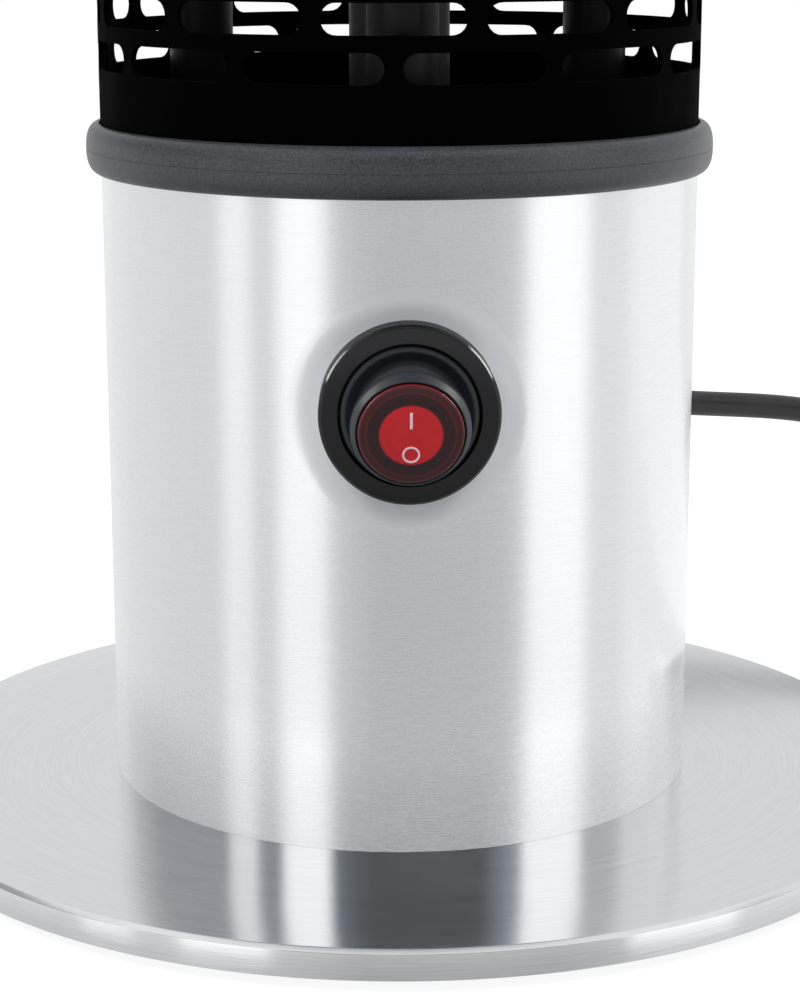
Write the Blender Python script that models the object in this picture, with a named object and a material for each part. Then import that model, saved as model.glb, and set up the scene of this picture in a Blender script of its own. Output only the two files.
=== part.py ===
# Infrared heater on a round base: a brushed housing with a rocker switch, a slotted radiator cage
# on top of it, a shallow lid, and a rubber lead that is wound up beside the base.
# Metres, +Z up. The origin is on the floor under the middle of the base, and the switch faces -Y.

import math

import bmesh
import bpy
from mathutils import Matrix, Vector
from mathutils.geometry import delaunay_2d_cdt

# Clearance between pieces that touch, and how far a cutter runs past what it cuts
GAP = 0.0003
OVERRUN = 0.002

# Base: a pressed cover over a steel weight, on rubber feet
BASE_RADIUS = 0.141
BASE_EDGE_HEIGHT = 0.0078
BASE_SKIN = 0.0012
BASE_RIM_WALL = 0.0016
BASE_BEVEL = 0.0010
BASE_CLEARANCE = 0.0032
WEIGHT_EDGE_CLEARANCE = 0.0094
WEIGHT_THICKNESS = 0.0055
WEIGHT_BEVEL = 0.0010
FOOT_COUNT = 4
FOOT_RADIUS = 0.011
FOOT_INSET = 0.022
FOOT_BEVEL = 0.0008
BOLT_COUNT = 3
BOLT_INSET = 0.018
BOLT_RADIUS = 0.0025
BOLT_CLEARANCE = 0.0005
BOLT_HEAD_RADIUS = 0.0046
BOLT_HEAD_HEIGHT = 0.0024
BOLT_PAST_FLOOR = 0.003

# Housing: a thin tube with a pressed seat for the switch in front and one for the gland behind
HOUSING_RADIUS = 0.080
HOUSING_WALL = 0.0012
HOUSING_HEIGHT = 0.1655
FLOOR_SHEET = 0.0015
FLOOR_RIM_HEIGHT = 0.012
SWITCH_SEAT_DEPTH = 0.0040
SWITCH_SEAT_FLAT_RADIUS = 0.0225
SWITCH_SEAT_EDGE_RADIUS = 0.0287
GLAND_SEAT_DEPTH = 0.0010
GLAND_SEAT_FLAT_RADIUS = 0.0132
GLAND_SEAT_EDGE_RADIUS = 0.0156

# Trim rings: a rounded skirt over the joint, with a web inside that carries the sheets
RING_OVERHANG = 0.0035
RING_HEIGHT = 0.0128
RING_WEB = 0.0030
RING_WEB_INSET = 0.0040
RING_ROUNDNESS_SHARE = 0.6

# Radiator cage: two half shells of slotted sheet with a seam strip behind each joint
CAGE_SHEET = 0.0014
CAGE_PLAIN_BAND = 0.0142
CAGE_ROWS = 17
SLOT_HEIGHT = 0.0076
SLOT_PITCH_SHARE = 0.5025
SLOT_BRIDGE = 0.0044
SLOT_LAND = 0.0040
SLOTS_PER_HALF = 6
SLOT_PATTERN_OFFSET = 0.0020
FLAT_MERGE_SHARE = 0.0001
CAGE_TURN = math.radians(-4.0)
SEAM_STRIP_WIDTH = 0.0095
SEAM_STRIP_SHEET = 0.0012

# Posts and tie rods that hold the top
POST_COUNT = 3
POST_RADIUS = 0.0088
POST_WALL = 0.0015
POST_INSET = 0.0166
POST_TURN = math.radians(-0.9)
ROD_RADIUS = 0.0025
ROD_CLEARANCE = 0.0005
ROD_HEAD_RADIUS = 0.0045
ROD_HEAD_HEIGHT = 0.0030
ROD_PAST_DECK = 0.008

# Deck under the cage and plate over it
DECK_SHEET = 0.0012
DECK_SKIRT_HEIGHT = 0.010
TOP_PLATE_SHEET = 0.0015
TOP_PLATE_EDGE_CLEARANCE = 0.0008

# Heating element in the middle of the cage
ELEMENT_RADIUS = 0.01345
ELEMENT_WALL = 0.00145
CORE_RADIUS = 0.0060
CORE_STUD_RADIUS = 0.0018
CORE_STUD_PAST_BOSS = 0.006
CORE_FIT = 0.0003
HOLDER_BOSS_RADIUS = 0.0105
HOLDER_BOSS_DEPTH = 0.007
HOLDER_FLANGE_HEIGHT = 0.006
HOLDER_SPIGOT_HEIGHT = 0.010
HOLDER_SEAT_DEPTH = 0.006
TOP_HOLDER_FLANGE_HEIGHT = 0.012
CUTOUT_RADIUS = 0.008
CUTOUT_FLANGE_RADIUS = 0.011
CUTOUT_FLANGE_HEIGHT = 0.001
CUTOUT_HEIGHT = 0.007

# Lid
LID_VISIBLE_HEIGHT = 0.0225
LID_EDGE_RADIUS = 0.0065
LID_CROWN = 0.0042
LID_WALL = 0.0012
CROWN_POINT_SHARE = 0.55
STUD_RADIUS = 0.0030
STUD_FLANGE_RADIUS = 0.0075
STUD_FLANGE_HEIGHT = 0.0015
STUD_PAST_LID = 0.0062
STUD_HOLE_DEPTH = 0.006
STUD_CLEARANCE = 0.0004
NUT_RADIUS = 0.0062
NUT_HEIGHT = 0.0100
NUT_SKIRT_HEIGHT = 0.0042

# Switch: distances along its axis are measured outward from the rocker's pivot
SWITCH_HEIGHT = 0.1145
PIVOT_PAST_SEAT = 0.0064
ROCKER_TILT = math.radians(12.0)
BEZEL_RADIUS = 0.0218
BEZEL_BORE = 0.0175
BEZEL_BEVEL = 0.0012
BEZEL_FRONT = 0.0056
SWITCH_CUP_RADIUS = 0.0172
SWITCH_CUP_FRONT = 0.0022
SWITCH_CUP_FLOOR = 0.0124
SWITCH_CAVITY_RADIUS = 0.0122
SWITCH_BARREL_RADIUS = 0.0152
SWITCH_BARREL_DEPTH = 0.0344
SWITCH_NUT_RADIUS = 0.0200
SWITCH_NUT_HEIGHT = 0.0050
SWITCH_NUT_FIT = 0.0003
BOOT_FRONT = 0.0056
BOOT_LIP_RADIUS = 0.0163
COLLAR_RADIUS = 0.0146
COLLAR_FRONT = 0.0112
COLLAR_BACK = 0.0082
COLLAR_MOUTH_RADIUS = 0.01345
COLLAR_MOUTH_FRONT = 0.0130
COLLAR_WAIST_RADIUS = 0.0095
COLLAR_WAIST = 0.0042
NECK_RADIUS = 0.0080
NECK_FRONT = 0.0025
NECK_BACK = 0.0070
LENS_RADIUS = 0.01285
LENS_SEAT = 0.0097
LENS_EDGE = 0.0134
LENS_EDGE_ROUND = 0.0009
LENS_CROWN = 0.0142
PIN_RADIUS = 0.0012
PIN_CLEARANCE = 0.0003
PIN_HALF_LENGTH = 0.0158

# Chassis bracket, terminal block and wires inside the housing
BRACKET_WIDTH = 0.052
BRACKET_HEIGHT = 0.078
BRACKET_SHEET = 0.0015
BRACKET_FOOT = 0.019
BRACKET_PLACE = 0.0115
BLOCK_WIDTH = 0.040
BLOCK_DEPTH = 0.016
BLOCK_HEIGHT = 0.024
BLOCK_STEP_HEIGHT = 0.011
BLOCK_STEP_DEPTH = 0.009
WIRE_RADIUS = 0.0013
WIRE_OFFSET = 0.012
WIRE_SWITCH_OFFSET = 0.006
WIRE_BOSS_OFFSET = 0.0066
WIRE_STUB = 0.010
WIRE_POINT_SPACING = 0.009

# Tip-over switch: a small pendulum between two cheeks, beside a micro switch
TILT_PLACE = -0.042
TILT_WIDTH = 0.019
TILT_HEIGHT = 0.040
TILT_DEPTH = 0.026
TILT_SHEET = 0.0012
TILT_PIN_HEIGHT = 0.034
TILT_PIN_RADIUS = 0.0013
TILT_PIN_CLEARANCE = 0.0003
TILT_PIN_OVERHANG = 0.0012
PENDULUM_LENGTH = 0.021
PENDULUM_THICKNESS = 0.006
PENDULUM_EYE_RADIUS = 0.0036
PENDULUM_BOB_RADIUS = 0.0070
PENDULUM_STEM_WIDTH = 0.0030
MICRO_SWITCH_GAP = 0.0003
MICRO_SWITCH_DEPTH = 0.006
MICRO_SWITCH_WIDTH = 0.016
MICRO_SWITCH_HEIGHT = 0.018

# Lead, gland and plug
LEAD_RADIUS = 0.0046
LEAD_FIT = 0.0003
LEAD_POINT_SPACING = 0.0225
GLAND_HEIGHT = 0.074
GLAND_THREAD_RADIUS = 0.0080
GLAND_THREAD_FIT = 0.0003
GLAND_FLANGE_RADIUS = 0.0122
GLAND_FLANGE_HEIGHT = 0.0046
GLAND_NECK_RADIUS = 0.0098
GLAND_NECK_HEIGHT = 0.0090
GLAND_MOUTH_RADIUS = 0.0074
GLAND_LENGTH = 0.0150
GLAND_INSIDE = 0.0130
GLAND_NUT_RADIUS = 0.0118
GLAND_NUT_HEIGHT = 0.0055
RELIEF_LENGTH = 0.040
RELIEF_ROOT_RADIUS = 0.0076
RELIEF_TIP_RADIUS = 0.0058
LEAD_ROUTE = [
    (0.0, 0.108, 0.074),
    (0.0, 0.137, 0.074),
    (0.004, 0.165, 0.0736),
    (0.018, 0.193, 0.0722),
    (0.044, 0.215, 0.0700),
    (0.080, 0.2275, 0.0672),
    (0.118, 0.2315, 0.0644),
    (0.157, 0.2330, 0.0612),
    (0.194, 0.2315, 0.0535),
    (0.229, 0.2255, 0.0410),
    (0.2575, 0.2110, 0.0262),
    (0.2755, 0.1905, 0.0136),
    (0.2835, 0.1695, 0.0062),
]
COIL_CENTRE = (0.222, 0.135)
COIL_LEAD_IN = 0.012
COIL_RADIUS = 0.063
COIL_TURNS_PER_LAYER = 2
COIL_SPACING = 0.0006
COIL_POINTS_PER_TURN = 24
PLUG_RELIEF_LENGTH = 0.032
PLUG_RELIEF_TIP_RADIUS = 0.0060
PLUG_RELIEF_ROOT_RADIUS = 0.0092
PLUG_BODY_LENGTH = 0.042
PLUG_BACK_RADIUS = 0.0104
PLUG_FRONT_RADIUS = 0.0184
PLUG_RIM_LENGTH = 0.012
PLUG_RIM_BEVEL = 0.0012
PLUG_NOTCH_WIDTH = 0.0060
PLUG_NOTCH_DEPTH = 0.0026
PLUG_NOTCH_LENGTH = 0.0140
PLUG_PIN_RADIUS = 0.0024
PLUG_PIN_LENGTH = 0.0190
PLUG_PIN_SPREAD = 0.0190
PLUG_PIN_NOSE = 0.0010

# Facets round a turned piece, by its size
LARGE_FACETS = 48
RING_FACETS = 36
MEDIUM_FACETS = 24
SMALL_FACETS = 16
TINY_FACETS = 8

# Radii and places that follow the base and the housing
WEIGHT_RADIUS = BASE_RADIUS - BASE_RIM_WALL - WEIGHT_EDGE_CLEARANCE
FOOT_CIRCLE = WEIGHT_RADIUS - FOOT_INSET
BOLT_CIRCLE = HOUSING_RADIUS - BOLT_INSET
BORE_RADIUS = HOUSING_RADIUS - HOUSING_WALL
SWITCH_SEAT_PLANE = HOUSING_RADIUS - SWITCH_SEAT_DEPTH
PIVOT_DEPTH = SWITCH_SEAT_PLANE + PIVOT_PAST_SEAT
GLAND_SEAT_PLANE = HOUSING_RADIUS - GLAND_SEAT_DEPTH
RING_RADIUS = HOUSING_RADIUS + RING_OVERHANG
RING_WEB_RADIUS = HOUSING_RADIUS - RING_WEB_INSET
SLOT_PITCH = HOUSING_RADIUS * SLOT_PITCH_SHARE
SLOT_LENGTH = SLOT_PITCH - SLOT_BRIDGE
POST_CIRCLE = HOUSING_RADIUS - POST_INSET
CUTOUT_PLACE = HOUSING_RADIUS / 2

# Levels up the object
BASE_TOP = BASE_CLEARANCE + BASE_EDGE_HEIGHT
FLOOR_BOTTOM = BASE_TOP + GAP
FLOOR_TOP = FLOOR_BOTTOM + FLOOR_SHEET
RING_SKIRT = (RING_HEIGHT - RING_WEB) / 2
LOWER_RING_BOTTOM = BASE_TOP + HOUSING_HEIGHT
WEB_BOTTOM = LOWER_RING_BOTTOM + RING_SKIRT
DECK_TOP = WEB_BOTTOM - GAP
DECK_BOTTOM = DECK_TOP - DECK_SHEET
CAGE_BOTTOM = WEB_BOTTOM + RING_WEB + GAP
FIRST_SLOT = LOWER_RING_BOTTOM + RING_HEIGHT + CAGE_PLAIN_BAND
ROW_PITCH = SLOT_HEIGHT + SLOT_LAND
LAST_SLOT_TOP = FIRST_SLOT + (CAGE_ROWS - 1) * ROW_PITCH + SLOT_HEIGHT
UPPER_RING_BOTTOM = LAST_SLOT_TOP + CAGE_PLAIN_BAND
CAGE_TOP = UPPER_RING_BOTTOM + RING_SKIRT - GAP
TOP_PLATE_BOTTOM = UPPER_RING_BOTTOM + RING_SKIRT + RING_WEB + GAP
TOP_PLATE_TOP = TOP_PLATE_BOTTOM + TOP_PLATE_SHEET
LID_BOTTOM = TOP_PLATE_TOP + GAP
LID_EDGE = UPPER_RING_BOTTOM + RING_HEIGHT + LID_VISIBLE_HEIGHT
LID_TOP = LID_EDGE + LID_CROWN
SWITCH_LEVEL = BASE_TOP + SWITCH_HEIGHT
PLUG_LEVEL = PLUG_FRONT_RADIUS + GAP
BOSS_BOTTOM = DECK_BOTTOM - HOLDER_BOSS_DEPTH
ROD_HOLE_RADIUS = ROD_RADIUS + ROD_CLEARANCE


def clear_scene():
    for thing in list(bpy.data.objects):
        bpy.data.objects.remove(thing, do_unlink=True)


def material(name, colour, roughness, metallic=0.0):
    made = bpy.data.materials.new(name)
    made.use_nodes = True
    shader = made.node_tree.nodes["Principled BSDF"]
    shader.inputs["Base Color"].default_value = (*colour, 1.0)
    shader.inputs["Roughness"].default_value = roughness
    shader.inputs["Metallic"].default_value = metallic
    made.diffuse_color = (*colour, 1.0)
    return made


def brushed_metal(name):
    return material(name, (0.78, 0.79, 0.80), 0.28, 1.0)


def plain_steel(name):
    return material(name, (0.55, 0.55, 0.56), 0.40, 1.0)


def black_plastic(name):
    return material(name, (0.02, 0.02, 0.022), 0.30)


def dark_rubber(name):
    return material(name, (0.025, 0.025, 0.027), 0.75)


def grey_trim(name):
    return material(name, (0.085, 0.088, 0.095), 0.60)


def flocked_black(name):
    return material(name, (0.006, 0.006, 0.007), 0.95)


def ceramic(name):
    return material(name, (0.30, 0.29, 0.27), 0.55)


def red_lens(name):
    return material(name, (0.75, 0.03, 0.04), 0.15)


def copper_wire(name):
    return material(name, (0.30, 0.10, 0.05), 0.50)


def shade(mesh):
    mesh.shade_smooth()
    mesh.set_sharp_from_angle(angle=math.radians(35.0))


def place(name, bm, finish, location=(0.0, 0.0, 0.0), rotation=(0.0, 0.0, 0.0), parent=None):
    """Turns a closed bmesh into a named object."""
    bmesh.ops.recalc_face_normals(bm, faces=bm.faces[:])
    mesh = bpy.data.meshes.new(name)
    bm.to_mesh(mesh)
    bm.free()
    shade(mesh)
    mesh.materials.append(finish(name))
    thing = bpy.data.objects.new(name, mesh)
    thing.location = location
    thing.rotation_euler = rotation
    thing.parent = parent
    bpy.context.scene.collection.objects.link(thing)
    return thing


def turned_mesh(profile, facets, closed):
    """Sweeps a profile of (radius, height) points round Z. An open one starts and ends on the axis."""
    bm = bmesh.new()
    rings = []
    for radius, height in profile:
        if radius == 0.0:
            rings.append([bm.verts.new((0.0, 0.0, height))])
            continue
        ring = []
        for step in range(facets):
            angle = math.tau * step / facets
            ring.append(bm.verts.new((radius * math.cos(angle), radius * math.sin(angle), height)))
        rings.append(ring)
    pairs = list(zip(rings, rings[1:]))
    if closed:
        pairs.append((rings[-1], rings[0]))
    for low, high in pairs:
        for step in range(facets):
            after = (step + 1) % facets
            corners = [low[step % len(low)], low[after % len(low)]]
            corners += [high[after % len(high)], high[step % len(high)]]
            unique = [v for i, v in enumerate(corners) if v not in corners[:i]]
            if len(unique) > 2:
                bm.faces.new(unique)
    return bm


def turned(name, profile, finish, facets=MEDIUM_FACETS, closed=False, **where):
    return place(name, turned_mesh(profile, facets, closed), finish, **where)


def extruded_mesh(outline, vector):
    """Pushes a flat outline of 3-D points along a vector."""
    bm = bmesh.new()
    face = bm.faces.new([bm.verts.new(point) for point in outline])
    pushed = bmesh.ops.extrude_face_region(bm, geom=[face])["geom"]
    bmesh.ops.translate(bm, vec=vector, verts=[v for v in pushed if isinstance(v, bmesh.types.BMVert)])
    return bm


def extruded(name, outline, vector, finish, **where):
    return place(name, extruded_mesh(outline, vector), finish, **where)


def arc(centre, radius, start, end, steps):
    """Points of an arc in a plane, both ends included."""
    points = []
    for step in range(steps + 1):
        angle = start + (end - start) * step / steps
        points.append((centre[0] + radius * math.cos(angle), centre[1] + radius * math.sin(angle)))
    return points


def cutter(name, rods):
    """One hidden object of separate rods, each given as start, end, radius and facets."""
    bm = bmesh.new()
    for start, end, radius, facets in rods:
        axis = Vector(end) - Vector(start)
        turn = axis.to_track_quat("Z", "Y").to_matrix().to_4x4()
        middle = (Vector(start) + Vector(end)) / 2
        bmesh.ops.create_cone(
            bm,
            cap_ends=True,
            segments=facets,
            radius1=radius,
            radius2=radius,
            depth=axis.length,
            matrix=Matrix.Translation(middle) @ turn,
        )
    return hide(place(name, bm, plain_steel))


def hide(thing):
    thing.hide_render = True
    thing.display_type = "WIRE"
    return thing


def cut(thing, tool):
    carve = thing.modifiers.new("cut_" + tool.name, "BOOLEAN")
    carve.operation = "DIFFERENCE"
    carve.solver = "EXACT"
    carve.object = tool


def round_places(count, circle, turn=0.0):
    """Evenly spaced places on a circle. The first is in front, at -Y."""
    return [
        (circle * math.sin(turn + math.tau * i / count), -circle * math.cos(turn + math.tau * i / count))
        for i in range(count)
    ]


def make_base():
    outer = BASE_RADIUS
    inner = BASE_RADIUS - BASE_RIM_WALL
    under = BASE_TOP - BASE_SKIN
    cover = turned(
        "base_cover",
        [
            (0.0, under),
            (inner, under),
            (inner, BASE_CLEARANCE),
            (outer, BASE_CLEARANCE),
            (outer, BASE_TOP - BASE_BEVEL),
            (outer - BASE_BEVEL, BASE_TOP),
            (0.0, BASE_TOP),
        ],
        brushed_metal,
        LARGE_FACETS,
    )
    top = under - GAP
    bottom = top - WEIGHT_THICKNESS
    weight = turned(
        "base_weight",
        [
            (0.0, bottom),
            (WEIGHT_RADIUS - WEIGHT_BEVEL, bottom),
            (WEIGHT_RADIUS, bottom + WEIGHT_BEVEL),
            (WEIGHT_RADIUS, top),
            (0.0, top),
        ],
        plain_steel,
        MEDIUM_FACETS,
    )
    for number, (x, y) in enumerate(round_places(FOOT_COUNT, FOOT_CIRCLE, math.pi / FOOT_COUNT), 1):
        turned(
            f"foot_{number}",
            [
                (0.0, 0.0),
                (FOOT_RADIUS - FOOT_BEVEL, 0.0),
                (FOOT_RADIUS, FOOT_BEVEL),
                (FOOT_RADIUS, bottom - GAP),
                (0.0, bottom - GAP),
            ],
            dark_rubber,
            SMALL_FACETS,
            location=(x, y, 0.0),
        )
    return cover, weight, bottom


def make_floor_and_bolts(cover, weight, weight_bottom):
    radius = BORE_RADIUS - GAP
    floor = turned(
        "housing_floor",
        [
            (0.0, FLOOR_BOTTOM),
            (radius, FLOOR_BOTTOM),
            (radius, FLOOR_BOTTOM + FLOOR_RIM_HEIGHT),
            (radius - FLOOR_SHEET, FLOOR_BOTTOM + FLOOR_RIM_HEIGHT),
            (radius - FLOOR_SHEET, FLOOR_TOP),
            (0.0, FLOOR_TOP),
        ],
        plain_steel,
        MEDIUM_FACETS,
    )
    places = round_places(BOLT_COUNT, BOLT_CIRCLE, math.pi / BOLT_COUNT)
    holes = cutter(
        "bolt_holes",
        [
            ((x, y, weight_bottom - OVERRUN), (x, y, FLOOR_TOP + OVERRUN), BOLT_RADIUS + BOLT_CLEARANCE, TINY_FACETS)
            for x, y in places
        ],
    )
    for piece in (cover, weight, floor):
        cut(piece, holes)
    seat = weight_bottom - GAP
    for number, (x, y) in enumerate(places, 1):
        turned(
            f"base_bolt_{number}",
            [
                (0.0, seat - BOLT_HEAD_HEIGHT),
                (BOLT_HEAD_RADIUS, seat - BOLT_HEAD_HEIGHT),
                (BOLT_HEAD_RADIUS, seat),
                (BOLT_RADIUS, seat),
                (BOLT_RADIUS, FLOOR_TOP + BOLT_PAST_FLOOR),
                (0.0, FLOOR_TOP + BOLT_PAST_FLOOR),
            ],
            plain_steel,
            TINY_FACETS,
            location=(x, y, 0.0),
        )


def press_tool(name, plane, flat_radius, edge_radius, direction, level, wall=0.0):
    """The blunt cone that a pressed seat leaves in the tube; wall moves it inward to the tube's inner face."""
    run = HOUSING_RADIUS - plane
    slope = (edge_radius - flat_radius) / run
    lean = math.atan(slope)
    flat = flat_radius + wall * (1.0 - math.sin(lean)) / math.cos(lean)
    start = plane - wall
    end = HOUSING_RADIUS + OVERRUN
    profile = [(0.0, start), (flat, start), (flat + slope * (end - start), end), (0.0, end)]
    where = {"location": (0.0, 0.0, level), "rotation": (direction * math.pi / 2, 0.0, 0.0)}
    return hide(turned(name, profile, plain_steel, MEDIUM_FACETS, **where))


def make_housing():
    bottom = BASE_TOP + GAP
    top = WEB_BOTTOM - GAP
    shell = turned(
        "housing",
        [(0.0, bottom), (HOUSING_RADIUS, bottom), (HOUSING_RADIUS, top), (0.0, top)],
        brushed_metal,
        LARGE_FACETS,
    )
    low = bottom - OVERRUN
    high = top + OVERRUN
    outline = [(0.0, low), (BORE_RADIUS, low), (BORE_RADIUS, high), (0.0, high)]
    bore = hide(turned("housing_bore", outline, plain_steel, LARGE_FACETS))
    front = (SWITCH_SEAT_PLANE, SWITCH_SEAT_FLAT_RADIUS, SWITCH_SEAT_EDGE_RADIUS, 1.0, SWITCH_LEVEL)
    rear = (GLAND_SEAT_PLANE, GLAND_SEAT_FLAT_RADIUS, GLAND_SEAT_EDGE_RADIUS, -1.0, GLAND_HEIGHT)
    for name, sizes in (("switch_seat", front), ("gland_seat", rear)):
        cut(shell, press_tool(name + "_outside", *sizes))
        cut(bore, press_tool(name + "_inside", *sizes, wall=HOUSING_WALL))
    cut(shell, bore)
    holes = cutter(
        "housing_holes",
        [
            (
                (0.0, -SWITCH_SEAT_PLANE - OVERRUN, SWITCH_LEVEL),
                (0.0, -SWITCH_SEAT_PLANE + HOUSING_WALL + OVERRUN, SWITCH_LEVEL),
                SWITCH_BARREL_RADIUS + SWITCH_NUT_FIT,
                MEDIUM_FACETS,
            ),
            (
                (0.0, GLAND_SEAT_PLANE + OVERRUN, GLAND_HEIGHT),
                (0.0, GLAND_SEAT_PLANE - HOUSING_WALL - OVERRUN, GLAND_HEIGHT),
                GLAND_THREAD_RADIUS + GLAND_THREAD_FIT,
                SMALL_FACETS,
            ),
        ],
    )
    cut(shell, holes)


def make_trim_ring(name, bottom):
    """A rounded ring in section: skirts up and down over the sheets, a web between them."""
    skirt_bore = (HOUSING_RADIUS + GAP) / math.cos(math.pi / RING_FACETS)
    middle = bottom + RING_HEIGHT / 2
    profile = []
    for x, y in arc((0.0, 0.0), 1.0, -math.pi / 2, math.pi / 2, 4):
        out = abs(x) ** RING_ROUNDNESS_SHARE
        up = math.copysign(abs(y) ** RING_ROUNDNESS_SHARE, y)
        profile.append((skirt_bore + (RING_RADIUS - skirt_bore) * out, middle + RING_HEIGHT / 2 * up))
    profile += [
        (skirt_bore, bottom + RING_SKIRT + RING_WEB),
        (RING_WEB_RADIUS, bottom + RING_SKIRT + RING_WEB),
        (RING_WEB_RADIUS, bottom + RING_SKIRT),
        (skirt_bore, bottom + RING_SKIRT),
    ]
    turned(name, profile, grey_trim, RING_FACETS, closed=True)


def post_places():
    return round_places(POST_COUNT, POST_CIRCLE, POST_TURN)


def make_deck():
    radius = BORE_RADIUS - GAP
    deck = turned(
        "deck",
        [
            (0.0, DECK_BOTTOM),
            (radius - DECK_SHEET, DECK_BOTTOM),
            (radius - DECK_SHEET, DECK_TOP - DECK_SKIRT_HEIGHT),
            (radius, DECK_TOP - DECK_SKIRT_HEIGHT),
            (radius, DECK_TOP),
            (0.0, DECK_TOP),
        ],
        flocked_black,
        RING_FACETS,
    )
    ends = (DECK_BOTTOM - OVERRUN, DECK_TOP + OVERRUN)
    rods = [((x, y, ends[0]), (x, y, ends[1]), ROD_HOLE_RADIUS, TINY_FACETS) for x, y in post_places()]
    rods.append(((0.0, 0.0, ends[0]), (0.0, 0.0, ends[1]), HOLDER_BOSS_RADIUS + GAP, SMALL_FACETS))
    cut(deck, cutter("deck_holes", rods))


def make_top_plate():
    radius = HOUSING_RADIUS + GAP - TOP_PLATE_EDGE_CLEARANCE
    plate = turned(
        "top_plate",
        [(0.0, TOP_PLATE_BOTTOM), (radius, TOP_PLATE_BOTTOM), (radius, TOP_PLATE_TOP), (0.0, TOP_PLATE_TOP)],
        flocked_black,
        MEDIUM_FACETS,
    )
    ends = (TOP_PLATE_BOTTOM - OVERRUN, TOP_PLATE_TOP + OVERRUN)
    rods = [((x, y, ends[0]), (x, y, ends[1]), ROD_HOLE_RADIUS, TINY_FACETS) for x, y in post_places()]
    rods.append(((0.0, 0.0, ends[0]), (0.0, 0.0, ends[1]), STUD_RADIUS + STUD_CLEARANCE, TINY_FACETS))
    cut(plate, cutter("top_plate_holes", rods))


def make_posts():
    bottom = DECK_TOP + GAP
    top = TOP_PLATE_BOTTOM - GAP
    seat = TOP_PLATE_TOP + GAP
    for number, (x, y) in enumerate(post_places(), 1):
        turned(
            f"post_{number}",
            [
                (POST_RADIUS - POST_WALL, bottom),
                (POST_RADIUS, bottom),
                (POST_RADIUS, top),
                (POST_RADIUS - POST_WALL, top),
            ],
            flocked_black,
            SMALL_FACETS,
            closed=True,
            location=(x, y, 0.0),
        )
        turned(
            f"tie_rod_{number}",
            [
                (0.0, DECK_BOTTOM - ROD_PAST_DECK),
                (ROD_RADIUS, DECK_BOTTOM - ROD_PAST_DECK),
                (ROD_RADIUS, seat),
                (ROD_HEAD_RADIUS, seat),
                (ROD_HEAD_RADIUS, seat + ROD_HEAD_HEIGHT),
                (0.0, seat + ROD_HEAD_HEIGHT),
            ],
            plain_steel,
            TINY_FACETS,
            location=(x, y, 0.0),
        )


def slot_outline(centre, bottom, half_length):
    """A slot in the unrolled sheet, with a middle point on each long side for the sheet's bend.

    Its square ends stand in for round ones of the same area.
    """
    run = half_length - SLOT_HEIGHT / 2 * (1.0 - math.pi / 4)
    top = bottom + SLOT_HEIGHT
    left = centre - run
    right = centre + run
    if half_length < SLOT_HEIGHT:
        return [(left, bottom), (right, bottom), (right, top), (left, top)]
    return [(left, bottom), (centre, bottom), (right, bottom), (right, top), (centre, top), (left, top)]


def slots_in_row(row):
    """(middle along the sheet, half length) of each slot of a half shell; every second row is shifted."""
    end = SLOTS_PER_HALF * SLOT_PITCH / 2 - SLOT_BRIDGE / 2
    if row % 2 == 0:
        return [((i - (SLOTS_PER_HALF - 1) / 2) * SLOT_PITCH, SLOT_LENGTH / 2) for i in range(SLOTS_PER_HALF)]
    whole = SLOTS_PER_HALF - 1
    slots = [((i - (whole - 1) / 2) * SLOT_PITCH, SLOT_LENGTH / 2) for i in range(whole)]
    short_start = whole * SLOT_PITCH / 2 + SLOT_BRIDGE / 2
    for side in (-1, 1):
        slots.append((side * (short_start + end) / 2, (end - short_start) / 2))
    return slots


def make_cage_half(name, middle_angle, offset):
    """Half of the cage: a sheet with rows of slots, rolled round the axis."""
    outer = HOUSING_RADIUS
    inner = outer - CAGE_SHEET
    half = math.pi / 2 * outer - GAP / 2
    loops = []
    edge_steps = 4 * SLOTS_PER_HALF
    edge = [-half + 2 * half * step / edge_steps for step in range(edge_steps + 1)]
    loops.append([(s, CAGE_BOTTOM) for s in edge] + [(s, CAGE_TOP) for s in reversed(edge)])
    holes = []
    for row in range(CAGE_ROWS):
        bottom = FIRST_SLOT + row * ROW_PITCH
        for centre, half_length in slots_in_row(row):
            loops.append(slot_outline(centre + offset, bottom, half_length))
            holes.append((loops[-1][0], max(loops[-1])))
    points = [Vector(point) for loop in loops for point in loop]
    edges = []
    start = 0
    for loop in loops:
        edges += [(start + i, start + (i + 1) % len(loop)) for i in range(len(loop))]
        start += len(loop)
    flat, _, faces, _, _, _ = delaunay_2d_cdt(points, edges, [], 1, SLOT_BRIDGE * FLAT_MERGE_SHARE)

    def in_a_slot(face):
        x = sum(flat[i].x for i in face) / len(face)
        z = sum(flat[i].y for i in face) / len(face)
        return any(low[0] < x < high[0] and low[1] < z < high[1] for low, high in holes)

    kept = [face for face in faces if not in_a_slot(face)]
    bm = bmesh.new()
    skins = []
    for radius in (outer, inner):
        skin = []
        for point in flat:
            angle = middle_angle + point.x / outer
            skin.append(bm.verts.new((radius * math.sin(angle), -radius * math.cos(angle), point.y)))
        skins.append(skin)
    sides = {}
    for face in kept:
        bm.faces.new([skins[0][i] for i in face])
        bm.faces.new([skins[1][i] for i in reversed(face)])
        for a, b in zip(face, face[1:] + face[:1]):
            sides[(a, b)] = sides.get((b, a), 0) + 1
    for (a, b), uses in sides.items():
        if uses == 1 and (b, a) not in sides:
            bm.faces.new([skins[0][b], skins[0][a], skins[1][a], skins[1][b]])
    place(name, bm, flocked_black)


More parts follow.
